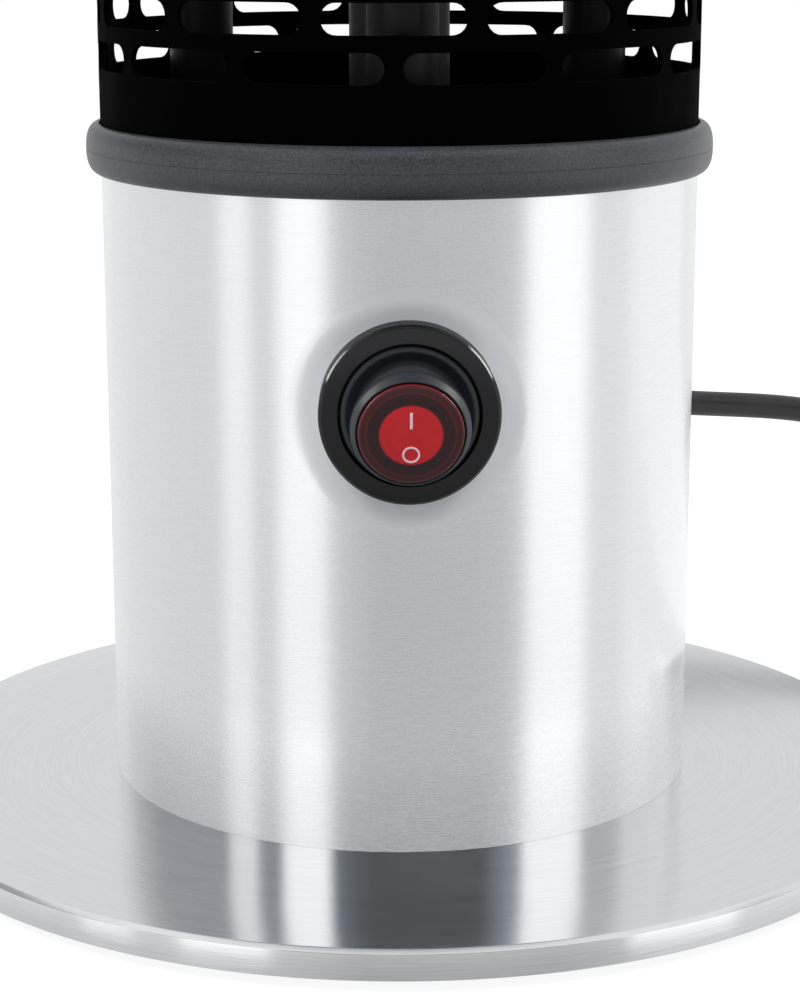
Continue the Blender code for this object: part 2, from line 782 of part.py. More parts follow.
def make_cage():
    make_cage_half("grille_front", CAGE_TURN, SLOT_PATTERN_OFFSET)
    make_cage_half("grille_rear", CAGE_TURN + math.pi, -SLOT_PATTERN_OFFSET)
    outer = HOUSING_RADIUS - CAGE_SHEET - 2 * GAP
    inner = outer - SEAM_STRIP_SHEET
    half_angle = SEAM_STRIP_WIDTH / 2 / outer
    for side, name in ((-1, "grille_seam_left"), (1, "grille_seam_right")):
        middle = CAGE_TURN + side * math.pi / 2 - math.pi / 2
        outline = arc((0.0, 0.0), outer, middle - half_angle, middle + half_angle, 4)
        outline += arc((0.0, 0.0), inner, middle + half_angle, middle - half_angle, 4)
        extruded(
            name,
            [(x, y, CAGE_BOTTOM) for x, y in outline],
            (0.0, 0.0, CAGE_TOP - CAGE_BOTTOM),
            flocked_black,
        )


def make_element():
    spigot = ELEMENT_RADIUS - ELEMENT_WALL - GAP
    seat = CORE_RADIUS + CORE_FIT
    bore = CORE_STUD_RADIUS + 2 * CORE_FIT
    flange_bottom = DECK_TOP + GAP
    flange_top = flange_bottom + HOLDER_FLANGE_HEIGHT
    spigot_top = flange_top + HOLDER_SPIGOT_HEIGHT
    core_bottom = spigot_top - HOLDER_SEAT_DEPTH
    turned(
        "lower_element_holder",
        [
            (bore, BOSS_BOTTOM),
            (HOLDER_BOSS_RADIUS, BOSS_BOTTOM),
            (HOLDER_BOSS_RADIUS, flange_bottom),
            (ELEMENT_RADIUS, flange_bottom),
            (ELEMENT_RADIUS, flange_top),
            (spigot, flange_top),
            (spigot, spigot_top),
            (seat, spigot_top),
            (seat, core_bottom),
            (bore, core_bottom),
        ],
        ceramic,
        SMALL_FACETS,
        closed=True,
    )
    holder_top = TOP_PLATE_BOTTOM - GAP
    upper_flange = holder_top - TOP_HOLDER_FLANGE_HEIGHT
    upper_spigot = upper_flange - HOLDER_SPIGOT_HEIGHT
    core_top = upper_spigot + HOLDER_SEAT_DEPTH
    stud_hole = STUD_RADIUS + GAP
    turned(
        "upper_element_holder",
        [
            (0.0, core_top),
            (seat, core_top),
            (seat, upper_spigot),
            (spigot, upper_spigot),
            (spigot, upper_flange),
            (ELEMENT_RADIUS, upper_flange),
            (ELEMENT_RADIUS, holder_top),
            (stud_hole, holder_top),
            (stud_hole, holder_top - STUD_HOLE_DEPTH),
            (0.0, holder_top - STUD_HOLE_DEPTH),
        ],
        ceramic,
        SMALL_FACETS,
    )
    turned(
        "heating_tube",
        [
            (ELEMENT_RADIUS - ELEMENT_WALL, flange_top + GAP),
            (ELEMENT_RADIUS, flange_top + GAP),
            (ELEMENT_RADIUS, upper_flange - GAP),
            (ELEMENT_RADIUS - ELEMENT_WALL, upper_flange - GAP),
        ],
        flocked_black,
        MEDIUM_FACETS,
        closed=True,
    )
    turned(
        "heating_core",
        [
            (0.0, BOSS_BOTTOM - CORE_STUD_PAST_BOSS),
            (CORE_STUD_RADIUS, BOSS_BOTTOM - CORE_STUD_PAST_BOSS),
            (CORE_STUD_RADIUS, core_bottom + GAP),
            (CORE_RADIUS, core_bottom + GAP),
            (CORE_RADIUS, core_top - GAP),
            (0.0, core_top - GAP),
        ],
        ceramic,
        TINY_FACETS,
    )
    turned(
        "thermal_cutout",
        [
            (0.0, DECK_BOTTOM - GAP - CUTOUT_HEIGHT),
            (CUTOUT_RADIUS, DECK_BOTTOM - GAP - CUTOUT_HEIGHT),
            (CUTOUT_RADIUS, DECK_BOTTOM - GAP - CUTOUT_FLANGE_HEIGHT),
            (CUTOUT_FLANGE_RADIUS, DECK_BOTTOM - GAP - CUTOUT_FLANGE_HEIGHT),
            (CUTOUT_FLANGE_RADIUS, DECK_BOTTOM - GAP),
            (0.0, DECK_BOTTOM - GAP),
        ],
        plain_steel,
        SMALL_FACETS,
        location=(CUTOUT_PLACE, 0.0, 0.0),
    )


def lid_skin(radius, corner, shoulder, crown, hole):
    """(radius, height) points up the lid's side, round its edge and over its crown to the hole."""
    points = [(radius, LID_BOTTOM)]
    points += arc((radius - corner, shoulder - corner), corner, 0.0, math.pi / 2, 3)
    rise = crown * (1.0 - CROWN_POINT_SHARE * CROWN_POINT_SHARE)
    points.append(((radius - corner) * CROWN_POINT_SHARE, shoulder + rise))
    points.append((hole, shoulder + crown))
    return points


def make_lid():
    hole = STUD_RADIUS + STUD_CLEARANCE
    outside = lid_skin(HOUSING_RADIUS, LID_EDGE_RADIUS, LID_EDGE, LID_CROWN, hole)
    inside = lid_skin(HOUSING_RADIUS - LID_WALL, LID_EDGE_RADIUS - LID_WALL, LID_EDGE - LID_WALL, LID_CROWN, hole)
    turned("top_lid", outside + inside[::-1], brushed_metal, RING_FACETS, closed=True)
    flange = TOP_PLATE_TOP + GAP
    foot = TOP_PLATE_BOTTOM - STUD_HOLE_DEPTH
    turned(
        "lid_stud",
        [
            (0.0, foot),
            (STUD_RADIUS, foot),
            (STUD_RADIUS, flange),
            (STUD_FLANGE_RADIUS, flange),
            (STUD_FLANGE_RADIUS, flange + STUD_FLANGE_HEIGHT),
            (STUD_RADIUS, flange + STUD_FLANGE_HEIGHT),
            (STUD_RADIUS, LID_TOP + STUD_PAST_LID),
            (0.0, LID_TOP + STUD_PAST_LID),
        ],
        plain_steel,
        TINY_FACETS,
    )
    seat = LID_TOP + GAP
    cavity = LID_TOP + STUD_PAST_LID + GAP
    dome = arc((0.0, 0.0), 1.0, 0.0, math.pi / 2, 4)
    rise = NUT_HEIGHT - NUT_SKIRT_HEIGHT
    profile = [(0.0, cavity), (hole, cavity), (hole, seat), (NUT_RADIUS, seat)]
    profile += [(NUT_RADIUS * x, seat + NUT_SKIRT_HEIGHT + rise * y) for x, y in dome[:-1]]
    profile.append((0.0, seat + NUT_HEIGHT))
    turned("lid_nut", profile, plain_steel, TINY_FACETS)


def switch_parent(name, tilt):
    """An empty on the rocker's pivot whose +Z is the switch's axis, tipped down by tilt."""
    empty = bpy.data.objects.new(name, None)
    empty.location = (0.0, -PIVOT_DEPTH, SWITCH_LEVEL)
    empty.rotation_euler = (math.pi / 2 + tilt, 0.0, 0.0)
    bpy.context.scene.collection.objects.link(empty)
    return empty


def make_switch_fixed():
    axis = switch_parent("switch_axis", 0.0)
    seat = SWITCH_SEAT_PLANE - PIVOT_DEPTH + GAP
    turned(
        "switch_bezel",
        [
            (BEZEL_BORE, seat),
            (BEZEL_RADIUS, seat),
            (BEZEL_RADIUS, BEZEL_FRONT - BEZEL_BEVEL),
            (BEZEL_RADIUS - BEZEL_BEVEL, BEZEL_FRONT),
            (BEZEL_BORE, BEZEL_FRONT),
        ],
        black_plastic,
        MEDIUM_FACETS,
        closed=True,
        parent=axis,
    )
    body = turned(
        "switch_body",
        [
            (0.0, seat - SWITCH_BARREL_DEPTH + SWITCH_CUP_FRONT),
            (SWITCH_BARREL_RADIUS, seat - SWITCH_BARREL_DEPTH + SWITCH_CUP_FRONT),
            (SWITCH_BARREL_RADIUS, seat),
            (SWITCH_CUP_RADIUS, seat),
            (SWITCH_CUP_RADIUS, SWITCH_CUP_FRONT),
            (SWITCH_CAVITY_RADIUS, SWITCH_CUP_FRONT),
            (SWITCH_CAVITY_RADIUS, -SWITCH_CUP_FLOOR),
            (0.0, -SWITCH_CUP_FLOOR),
        ],
        black_plastic,
        MEDIUM_FACETS,
        parent=axis,
    )
    reach = SWITCH_CUP_RADIUS + OVERRUN
    cut(
        body,
        cutter(
            "pin_hole",
            [
                (
                    (-reach, -PIVOT_DEPTH, SWITCH_LEVEL),
                    (reach, -PIVOT_DEPTH, SWITCH_LEVEL),
                    PIN_RADIUS + PIN_CLEARANCE,
                    TINY_FACETS,
                )
            ],
        ),
    )
    back = SWITCH_CUP_FRONT + GAP
    turned(
        "switch_boot",
        [
            (BOOT_LIP_RADIUS, back),
            (SWITCH_CUP_RADIUS, back),
            (SWITCH_CUP_RADIUS, BOOT_FRONT),
            (BOOT_LIP_RADIUS, BOOT_FRONT),
        ],
        dark_rubber,
        MEDIUM_FACETS,
        closed=True,
        parent=axis,
    )
    inner_face = SWITCH_SEAT_PLANE - HOUSING_WALL - PIVOT_DEPTH - GAP
    turned(
        "switch_nut",
        [
            (SWITCH_BARREL_RADIUS + SWITCH_NUT_FIT, inner_face - SWITCH_NUT_HEIGHT),
            (SWITCH_NUT_RADIUS, inner_face - SWITCH_NUT_HEIGHT),
            (SWITCH_NUT_RADIUS, inner_face),
            (SWITCH_BARREL_RADIUS + SWITCH_NUT_FIT, inner_face),
        ],
        black_plastic,
        MEDIUM_FACETS,
        closed=True,
        parent=axis,
    )


def make_rocker():
    axis = switch_parent("rocker_axis", ROCKER_TILT)
    rocker = turned(
        "rocker",
        [
            (0.0, -NECK_BACK),
            (NECK_RADIUS, -NECK_BACK),
            (NECK_RADIUS, NECK_FRONT),
            (COLLAR_WAIST_RADIUS, COLLAR_WAIST),
            (COLLAR_RADIUS - BEZEL_BEVEL, (COLLAR_WAIST + COLLAR_BACK) / 2),
            (COLLAR_RADIUS, COLLAR_BACK),
            (COLLAR_RADIUS, COLLAR_FRONT),
            (COLLAR_MOUTH_RADIUS, COLLAR_MOUTH_FRONT),
            (LENS_RADIUS + GAP, COLLAR_MOUTH_FRONT),
            (LENS_RADIUS + GAP, LENS_SEAT),
            (0.0, LENS_SEAT),
        ],
        dark_rubber,
        MEDIUM_FACETS,
        parent=axis,
    )
    reach = NECK_RADIUS + OVERRUN
    cut(
        rocker,
        cutter(
            "rocker_pin_hole",
            [
                (
                    (-reach, -PIVOT_DEPTH, SWITCH_LEVEL),
                    (reach, -PIVOT_DEPTH, SWITCH_LEVEL),
                    PIN_RADIUS + PIN_CLEARANCE,
                    TINY_FACETS,
                )
            ],
        ),
    )
    turned(
        "rocker_lens",
        [
            (0.0, LENS_SEAT + GAP),
            (LENS_RADIUS, LENS_SEAT + GAP),
            (LENS_RADIUS, LENS_EDGE),
            (LENS_RADIUS - LENS_EDGE_ROUND, (LENS_EDGE + LENS_CROWN) / 2),
            (LENS_RADIUS / 2, LENS_CROWN),
            (0.0, LENS_CROWN),
        ],
        red_lens,
        MEDIUM_FACETS,
        parent=axis,
    )
    turned(
        "rocker_pin",
        [(0.0, -PIN_HALF_LENGTH), (PIN_RADIUS, -PIN_HALF_LENGTH), (PIN_RADIUS, PIN_HALF_LENGTH), (0.0, PIN_HALF_LENGTH)],
        plain_steel,
        TINY_FACETS,
        location=(0.0, -PIVOT_DEPTH, SWITCH_LEVEL),
        rotation=(0.0, math.pi / 2, 0.0),
    )


def block_level():
    """Underside of the terminal block, which stands level with the gland."""
    return GLAND_HEIGHT - BLOCK_STEP_HEIGHT / 2


def make_chassis():
    foot = FLOOR_TOP + GAP
    back = BRACKET_PLACE
    outline = [
        (back, foot),
        (back, foot + BRACKET_HEIGHT),
        (back - BRACKET_SHEET, foot + BRACKET_HEIGHT),
        (back - BRACKET_SHEET, foot + BRACKET_SHEET),
        (back - BRACKET_FOOT, foot + BRACKET_SHEET),
        (back - BRACKET_FOOT, foot),
    ]
    extruded(
        "chassis_bracket",
        [(-BRACKET_WIDTH / 2, y, z) for y, z in outline],
        (BRACKET_WIDTH, 0.0, 0.0),
        plain_steel,
    )
    face = back + GAP
    low = block_level()
    outline = [
        (face, low),
        (face + BLOCK_DEPTH, low),
        (face + BLOCK_DEPTH, low + BLOCK_STEP_HEIGHT),
        (face + BLOCK_STEP_DEPTH, low + BLOCK_STEP_HEIGHT),
        (face + BLOCK_STEP_DEPTH, low + BLOCK_HEIGHT),
        (face, low + BLOCK_HEIGHT),
    ]
    extruded(
        "terminal_block",
        [(-BLOCK_WIDTH / 2, y, z) for y, z in outline],
        (BLOCK_WIDTH, 0.0, 0.0),
        ceramic,
    )


def make_tilt_switch():
    foot = FLOOR_TOP + GAP
    half = TILT_WIDTH / 2
    inside = half - TILT_SHEET
    pin_level = foot + TILT_PIN_HEIGHT
    outline = [
        (-half, foot),
        (half, foot),
        (half, foot + TILT_HEIGHT),
        (inside, foot + TILT_HEIGHT),
        (inside, foot + TILT_SHEET),
        (-inside, foot + TILT_SHEET),
        (-inside, foot + TILT_HEIGHT),
        (-half, foot + TILT_HEIGHT),
    ]
    case = extruded(
        "tilt_case",
        [(TILT_PLACE + x, -TILT_DEPTH / 2, z) for x, z in outline],
        (0.0, TILT_DEPTH, 0.0),
        plain_steel,
    )
    reach = half + OVERRUN
    hole = (
        (TILT_PLACE - reach, 0.0, pin_level),
        (TILT_PLACE + reach, 0.0, pin_level),
        TILT_PIN_RADIUS + TILT_PIN_CLEARANCE,
        TINY_FACETS,
    )
    drill = cutter("tilt_pin_hole", [hole])
    cut(case, drill)
    pin_half = half + TILT_PIN_OVERHANG
    turned(
        "tilt_pin",
        [(0.0, -pin_half), (TILT_PIN_RADIUS, -pin_half), (TILT_PIN_RADIUS, pin_half), (0.0, pin_half)],
        plain_steel,
        TINY_FACETS,
        location=(TILT_PLACE, 0.0, pin_level),
        rotation=(0.0, math.pi / 2, 0.0),
    )
    stem = PENDULUM_STEM_WIDTH / 2
    eye_angle = math.asin(stem / PENDULUM_EYE_RADIUS)
    bob_angle = math.asin(stem / PENDULUM_BOB_RADIUS)
    outline = arc((0.0, 0.0), PENDULUM_EYE_RADIUS, eye_angle - math.pi / 2, math.pi * 1.5 - eye_angle, 10)
    outline += arc(
        (0.0, -PENDULUM_LENGTH), PENDULUM_BOB_RADIUS, math.pi / 2 + bob_angle, math.pi * 2.5 - bob_angle, 14
    )
    pendulum = extruded(
        "tilt_pendulum",
        [(-PENDULUM_THICKNESS / 2, y, z) for y, z in outline],
        (PENDULUM_THICKNESS, 0.0, 0.0),
        plain_steel,
        location=(TILT_PLACE, 0.0, pin_level),
    )
    cut(pendulum, drill)
    near = TILT_DEPTH / 2 + MICRO_SWITCH_GAP
    edge = MICRO_SWITCH_WIDTH / 2
    outline = [(-edge, near), (edge, near), (edge, near + MICRO_SWITCH_DEPTH), (-edge, near + MICRO_SWITCH_DEPTH)]
    extruded(
        "tilt_micro_switch",
        [(TILT_PLACE + x, y, foot) for x, y in outline],
        (0.0, 0.0, MICRO_SWITCH_HEIGHT),
        black_plastic,
    )


def smooth_route(route, spacing):
    """Even points along one smooth curve through the route's own points."""
    knots = [Vector(point) for point in route]
    knots = [2 * knots[0] - knots[1]] + knots + [2 * knots[-1] - knots[-2]]
    fine = []
    for a, b, c, d in zip(knots, knots[1:], knots[2:], knots[3:]):
        times = [0.0]
        for start, end in ((a, b), (b, c), (c, d)):
            times.append(times[-1] + math.sqrt((end - start).length))
        for step in range(24):
            t = times[1] + (times[2] - times[1]) * step / 24
            ab = a.lerp(b, t / times[1])
            bc = b.lerp(c, (t - times[1]) / (times[2] - times[1]))
            cd = c.lerp(d, (t - times[2]) / (times[3] - times[2]))
            abc = ab.lerp(bc, t / times[2])
            bcd = bc.lerp(cd, (t - times[1]) / (times[3] - times[1]))
            fine.append(abc.lerp(bcd, (t - times[1]) / (times[2] - times[1])))
    fine.append(knots[-2])
    along = [0.0]
    for start, end in zip(fine, fine[1:]):
        along.append(along[-1] + (end - start).length)
    count = max(2, round(along[-1] / spacing))
    points = []
    spot = 0
    for step in range(count + 1):
        wanted = along[-1] * step / count
        while spot < len(fine) - 2 and along[spot + 1] < wanted:
            spot += 1
        share = (wanted - along[spot]) / (along[spot + 1] - along[spot])
        points.append(fine[spot].lerp(fine[spot + 1], share))
    return points


def tube(name, points, radius, finish, resolution):
    """A round tube with closed ends along a line of points."""
    curve = bpy.data.curves.new(name, "CURVE")
    curve.dimensions = "3D"
    curve.bevel_depth = radius
    curve.bevel_resolution = resolution
    curve.use_fill_caps = True
    spline = curve.splines.new("POLY")
    spline.points.add(len(points) - 1)
    for spot, point in zip(spline.points, points):
        spot.co = (*point, 1.0)
    curve.materials.append(finish(name))
    thing = bpy.data.objects.new(name, curve)
    bpy.context.scene.collection.objects.link(thing)
    return thing


def make_wires():
    """Three insulated leads, each straight for a short stub at both ends."""
    block_top = block_level() + BLOCK_HEIGHT + GAP
    block_middle = BRACKET_PLACE + GAP + BLOCK_STEP_DEPTH / 2
    switch_back = SWITCH_BARREL_DEPTH - SWITCH_CUP_FRONT - SWITCH_SEAT_PLANE
    cutout_bottom = DECK_BOTTOM - 2 * GAP - CUTOUT_HEIGHT
    boss = BOSS_BOTTOM - GAP
    routes = {
        "wire_live": [
            (-WIRE_OFFSET, block_middle, block_top),
            (-WIRE_OFFSET, block_middle, block_top + WIRE_STUB),
            (-WIRE_SWITCH_OFFSET, switch_back + WIRE_STUB, SWITCH_LEVEL),
            (-WIRE_SWITCH_OFFSET, switch_back, SWITCH_LEVEL),
        ],
        "wire_switched": [
            (WIRE_SWITCH_OFFSET, switch_back, SWITCH_LEVEL),
            (WIRE_SWITCH_OFFSET, switch_back + WIRE_STUB, SWITCH_LEVEL),
            (CUTOUT_PLACE, 0.0, cutout_bottom - WIRE_STUB),
            (CUTOUT_PLACE, 0.0, cutout_bottom),
        ],
        "wire_neutral": [
            (WIRE_OFFSET, block_middle, block_top),
            (WIRE_OFFSET, block_middle, block_top + WIRE_STUB),
            (WIRE_BOSS_OFFSET, 0.0, boss - WIRE_STUB),
            (WIRE_BOSS_OFFSET, 0.0, boss),
        ],
    }
    for name, route in routes.items():
        tube(name, smooth_route(route, WIRE_POINT_SPACING), WIRE_RADIUS, copper_wire, 1)


def make_gland():
    bore = LEAD_RADIUS + LEAD_FIT
    seat = GLAND_SEAT_PLANE + GAP
    backwards = {"location": (0.0, 0.0, GLAND_HEIGHT), "rotation": (-math.pi / 2, 0.0, 0.0)}
    turned(
        "gland_body",
        [
            (bore, seat - GLAND_INSIDE),
            (GLAND_THREAD_RADIUS, seat - GLAND_INSIDE),
            (GLAND_THREAD_RADIUS, seat),
            (GLAND_FLANGE_RADIUS, seat),
            (GLAND_FLANGE_RADIUS, seat + GLAND_FLANGE_HEIGHT),
            (GLAND_NECK_RADIUS, seat + GLAND_FLANGE_HEIGHT),
            (GLAND_NECK_RADIUS, seat + GLAND_NECK_HEIGHT),
            (GLAND_MOUTH_RADIUS, seat + GLAND_LENGTH),
            (bore, seat + GLAND_LENGTH),
        ],
        black_plastic,
        SMALL_FACETS,
        closed=True,
        **backwards,
    )
    inner_face = GLAND_SEAT_PLANE - HOUSING_WALL - GAP
    turned(
        "gland_nut",
        [
            (GLAND_THREAD_RADIUS + GLAND_THREAD_FIT, inner_face - GLAND_NUT_HEIGHT),
            (GLAND_NUT_RADIUS, inner_face - GLAND_NUT_HEIGHT),
            (GLAND_NUT_RADIUS, inner_face),
            (GLAND_THREAD_RADIUS + GLAND_THREAD_FIT, inner_face),
        ],
        black_plastic,
        SMALL_FACETS,
        closed=True,
        **backwards,
    )
    root = seat + GLAND_LENGTH + GAP
    turned(
        "strain_relief",
        [
            (bore, root),
            (RELIEF_ROOT_RADIUS, root),
            (RELIEF_TIP_RADIUS, root + RELIEF_LENGTH),
            (bore, root + RELIEF_LENGTH),
        ],
        dark_rubber,
        SMALL_FACETS,
        closed=True,
        **backwards,
    )
    tail_start = BRACKET_PLACE + 2 * GAP + BLOCK_DEPTH
    tail = [(0.0, tail_start, GLAND_HEIGHT), (0.0, HOUSING_RADIUS - GAP, GLAND_HEIGHT)]
    tube("supply_tail", smooth_route(tail, LEAD_POINT_SPACING), LEAD_RADIUS, dark_rubber, 2)


def lead_route():
    """The free lead from inside the gland, through the air behind the housing and down to the coil."""
    floor = LEAD_RADIUS + GAP
    x = COIL_CENTRE[0] + COIL_RADIUS
    y = COIL_CENTRE[1] + 2 * LEAD_RADIUS + GAP
    route = [(0.0, HOUSING_RADIUS, GLAND_HEIGHT)]
    route += LEAD_ROUTE
    route += [(x, y + COIL_LEAD_IN, floor), (x, y, floor)]
    return route


def coil_points():
    """The wound-up part: a spiral inwards on the floor, one climb, and a spiral outwards on top of it."""
    step = 2 * LEAD_RADIUS + COIL_SPACING
    low = LEAD_RADIUS + GAP
    high = low + step
    turns = 2 * COIL_TURNS_PER_LAYER
    half = math.tau * COIL_TURNS_PER_LAYER
    rise_span = math.pi / 2
    count = turns * COIL_POINTS_PER_TURN
    points = [(COIL_CENTRE[0] + COIL_RADIUS, COIL_CENTRE[1] + 2 * LEAD_RADIUS, low)]
    for number in range(count + 1):
        angle = math.tau * number / COIL_POINTS_PER_TURN
        radius = COIL_RADIUS - step * (half - abs(angle - half)) / math.tau
        climb = min(1.0, max(0.0, (angle - half + math.pi / 2) / math.pi))
        level = low + (high - low) * climb * climb * (3.0 - 2.0 * climb)
        lift = min(1.0, max(0.0, (angle - 2 * half + rise_span) / rise_span))
        level += (PLUG_LEVEL - high) * lift * lift * (3.0 - 2.0 * lift)
        points.append(
            (COIL_CENTRE[0] + radius * math.cos(angle), COIL_CENTRE[1] - radius * math.sin(angle), level)
        )
    points.append((points[-1][0], points[-1][1] - 2 * LEAD_RADIUS, PLUG_LEVEL))
    return points


def least_gap(points, diameter):
    """The smallest space between turns of a tube, measured between its centre points and runs."""
    spots = [Vector(point) for point in points]
    near = round(COIL_POINTS_PER_TURN / 3)
    best = None
    for i, spot in enumerate(spots):
        for j in range(i + near, len(spots) - 1):
            run = spots[j + 1] - spots[j]
            share = min(1.0, max(0.0, (spot - spots[j]).dot(run) / run.length_squared))
            space = (spot - spots[j] - run * share).length - diameter
            best = space if best is None else min(best, space)
    return best


def run_length(points):
    return sum((Vector(b) - Vector(a)).length for a, b in zip(points, points[1:]))


def make_lead():
    free = smooth_route(lead_route(), LEAD_POINT_SPACING)
    tube("cord", free, LEAD_RADIUS, dark_rubber, 2)
    wound = coil_points()
    tube("cord_coil", wound, LEAD_RADIUS, dark_rubber, 1)
    print(f"lead: free {run_length(free):.3f} m, wound {run_length(wound):.3f} m")
    print(f"coil: least gap between turns {least_gap(wound, 2 * LEAD_RADIUS) * 1000:.2f} mm")
    return wound[-1]


def make_plug(end):
    forwards = {"location": (end[0], end[1] - GAP, end[2]), "rotation": (math.pi / 2, 0.0, 0.0)}
    turned(
        "plug_relief",
        [
            (0.0, 0.0),
            (PLUG_RELIEF_TIP_RADIUS, 0.0),
            (PLUG_RELIEF_ROOT_RADIUS, PLUG_RELIEF_LENGTH),
            (0.0, PLUG_RELIEF_LENGTH),
        ],
        dark_rubber,
        SMALL_FACETS,
        **forwards,
    )
    back = PLUG_RELIEF_LENGTH + GAP
    front = back + PLUG_BODY_LENGTH
    shoulder = front - PLUG_RIM_LENGTH
    middle = back + (shoulder - back) / 2
    body = turned(
        "plug_body",
        [
            (0.0, back),
            (PLUG_BACK_RADIUS, back),
            (PLUG_BACK_RADIUS + (PLUG_FRONT_RADIUS - PLUG_BACK_RADIUS) / 3, middle),
            (PLUG_FRONT_RADIUS - PLUG_RIM_BEVEL, shoulder),
            (PLUG_FRONT_RADIUS, shoulder + PLUG_RIM_BEVEL),
            (PLUG_FRONT_RADIUS, front - PLUG_RIM_BEVEL),
            (PLUG_FRONT_RADIUS - PLUG_RIM_BEVEL, front),
            (0.0, front),
        ],
        black_plastic,
        MEDIUM_FACETS,
        **forwards,
    )
    face = end[1] - GAP - front
    bm = bmesh.new()
    for side in (-1, 1):
        size = (PLUG_NOTCH_WIDTH, PLUG_NOTCH_LENGTH + OVERRUN, 2 * PLUG_NOTCH_DEPTH)
        spot = (end[0], face + (PLUG_NOTCH_LENGTH - OVERRUN) / 2, end[2] + side * PLUG_FRONT_RADIUS)
        bmesh.ops.create_cube(bm, size=1.0, matrix=Matrix.Translation(spot) @ Matrix.Diagonal((*size, 1.0)))
    cut(body, hide(place("plug_notches", bm, plain_steel)))
    for number, side in ((1, -1), (2, 1)):
        turned(
            f"plug_pin_{number}",
            [
                (0.0, 0.0),
                (PLUG_PIN_RADIUS, 0.0),
                (PLUG_PIN_RADIUS, PLUG_PIN_LENGTH - PLUG_PIN_NOSE),
                (PLUG_PIN_RADIUS - PLUG_PIN_NOSE, PLUG_PIN_LENGTH),
                (0.0, PLUG_PIN_LENGTH),
            ],
            plain_steel,
            TINY_FACETS,
            location=(end[0] + side * PLUG_PIN_SPREAD / 2, face - GAP, end[2]),
            rotation=(math.pi / 2, 0.0, 0.0),
        )


def main():
    clear_scene()
    cover, weight, weight_bottom = make_base()
    make_floor_and_bolts(cover, weight, weight_bottom)
    make_housing()
    make_trim_ring("lower_trim_ring", LOWER_RING_BOTTOM)
    make_deck()
    make_cage()
    make_posts()
    make_element()
    make_trim_ring("upper_trim_ring", UPPER_RING_BOTTOM)
    make_top_plate()
    make_lid()
    make_switch_fixed()
    make_rocker()
    make_chassis()
    make_tilt_switch()
    make_wires()
    make_gland()
    make_plug(make_lead())


main()
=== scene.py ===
# Looks of the infrared heater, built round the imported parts. Metres, +Z up, the switch faces -Y.
import math

import bmesh
import bpy
from mathutils import Matrix, Vector
from mathutils.geometry import delaunay_2d_cdt


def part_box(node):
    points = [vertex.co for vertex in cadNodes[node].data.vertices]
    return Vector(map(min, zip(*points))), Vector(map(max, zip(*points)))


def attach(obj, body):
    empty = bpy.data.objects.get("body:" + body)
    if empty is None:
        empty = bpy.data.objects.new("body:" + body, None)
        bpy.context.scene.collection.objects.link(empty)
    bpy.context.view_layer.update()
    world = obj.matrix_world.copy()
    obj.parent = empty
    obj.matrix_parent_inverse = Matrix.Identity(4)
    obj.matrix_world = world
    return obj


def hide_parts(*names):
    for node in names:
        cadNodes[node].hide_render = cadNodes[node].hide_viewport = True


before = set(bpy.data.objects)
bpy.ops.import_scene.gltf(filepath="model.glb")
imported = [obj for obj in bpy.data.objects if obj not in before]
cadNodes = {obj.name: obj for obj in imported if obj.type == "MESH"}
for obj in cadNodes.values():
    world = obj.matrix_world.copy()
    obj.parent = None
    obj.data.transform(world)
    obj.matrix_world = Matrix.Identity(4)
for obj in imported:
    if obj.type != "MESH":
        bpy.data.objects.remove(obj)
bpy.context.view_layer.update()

scene = bpy.context.scene


def lowOf(node):
    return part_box(node)[0]


def highOf(node):
    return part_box(node)[1]


# camera: a long lens a little above the switch, as the photograph was taken

cameraFacts = {
    "place": (-0.018617, -0.666484, 0.242944),
    "lens": 89.18,
    "pitch": 13.32,
    "yaw": -1.6,
    "roll": -0.0745,
    "sensor": 36,
    "clip": (0.02, 20),
}


def makeCamera(facts):
    data = bpy.data.cameras.new("camera")
    data.lens = facts["lens"]
    data.sensor_width = facts["sensor"]
    data.clip_start, data.clip_end = facts["clip"]
    made = bpy.data.objects.new("camera", data)
    turn = Matrix.Rotation(math.radians(facts["yaw"]), 4, "Z")
    turn = turn @ Matrix.Rotation(math.radians(90 - facts["pitch"]), 4, "X")
    turn = turn @ Matrix.Rotation(math.radians(facts["roll"]), 4, "Z")
    made.matrix_world = Matrix.Translation(facts["place"]) @ turn
    scene.collection.objects.link(made)
    scene.camera = made


makeCamera(cameraFacts)
print("stage: camera")


# small helpers for node trees

def plug(tree, value, socket):
    if isinstance(value, bpy.types.NodeSocket):
        tree.links.new(value, socket)
    else:
        socket.default_value = value


def addNode(tree, kind, inputs=None, **settings):
    made = tree.nodes.new(kind)
    made.location = (190 * (len(tree.nodes) % 12), -260 * (len(tree.nodes) // 12))
    for key, value in settings.items():
        setattr(made, key, value)
    for key, value in (inputs or {}).items():
        plug(tree, value, made.inputs[key])
    return made


def calc(tree, operation, *values):
    made = addNode(tree, "ShaderNodeMath", operation=operation)
    for socket, value in zip(made.inputs, values):
        plug(tree, value, socket)
    return made.outputs[0]


def remap(tree, value, low, high, start=0.0, end=1.0):
    made = addNode(tree, "ShaderNodeMapRange", {0: value, 1: start, 2: end, 3: low, 4: high})
    return made.outputs[0]


def ramp(tree, value, stops):
    made = addNode(tree, "ShaderNodeValToRGB", {0: value})
    band = made.color_ramp
    while len(band.elements) < len(stops):
        band.elements.new(1.0)
    for element, (place, colour) in zip(band.elements, stops):
        element.position = place
        element.color = (*colour, 1.0)
    return made.outputs[0]


def tint(tree, share, first, second):
    made = addNode(tree, "ShaderNodeMix", data_type="RGBA")
    plug(tree, share, made.inputs[0])
    for number, colour in ((6, first), (7, second)):
        plug(
            tree, colour if isinstance(colour, bpy.types.NodeSocket) else (*colour, 1.0), made.inputs[number]
        )
    return made.outputs[2]


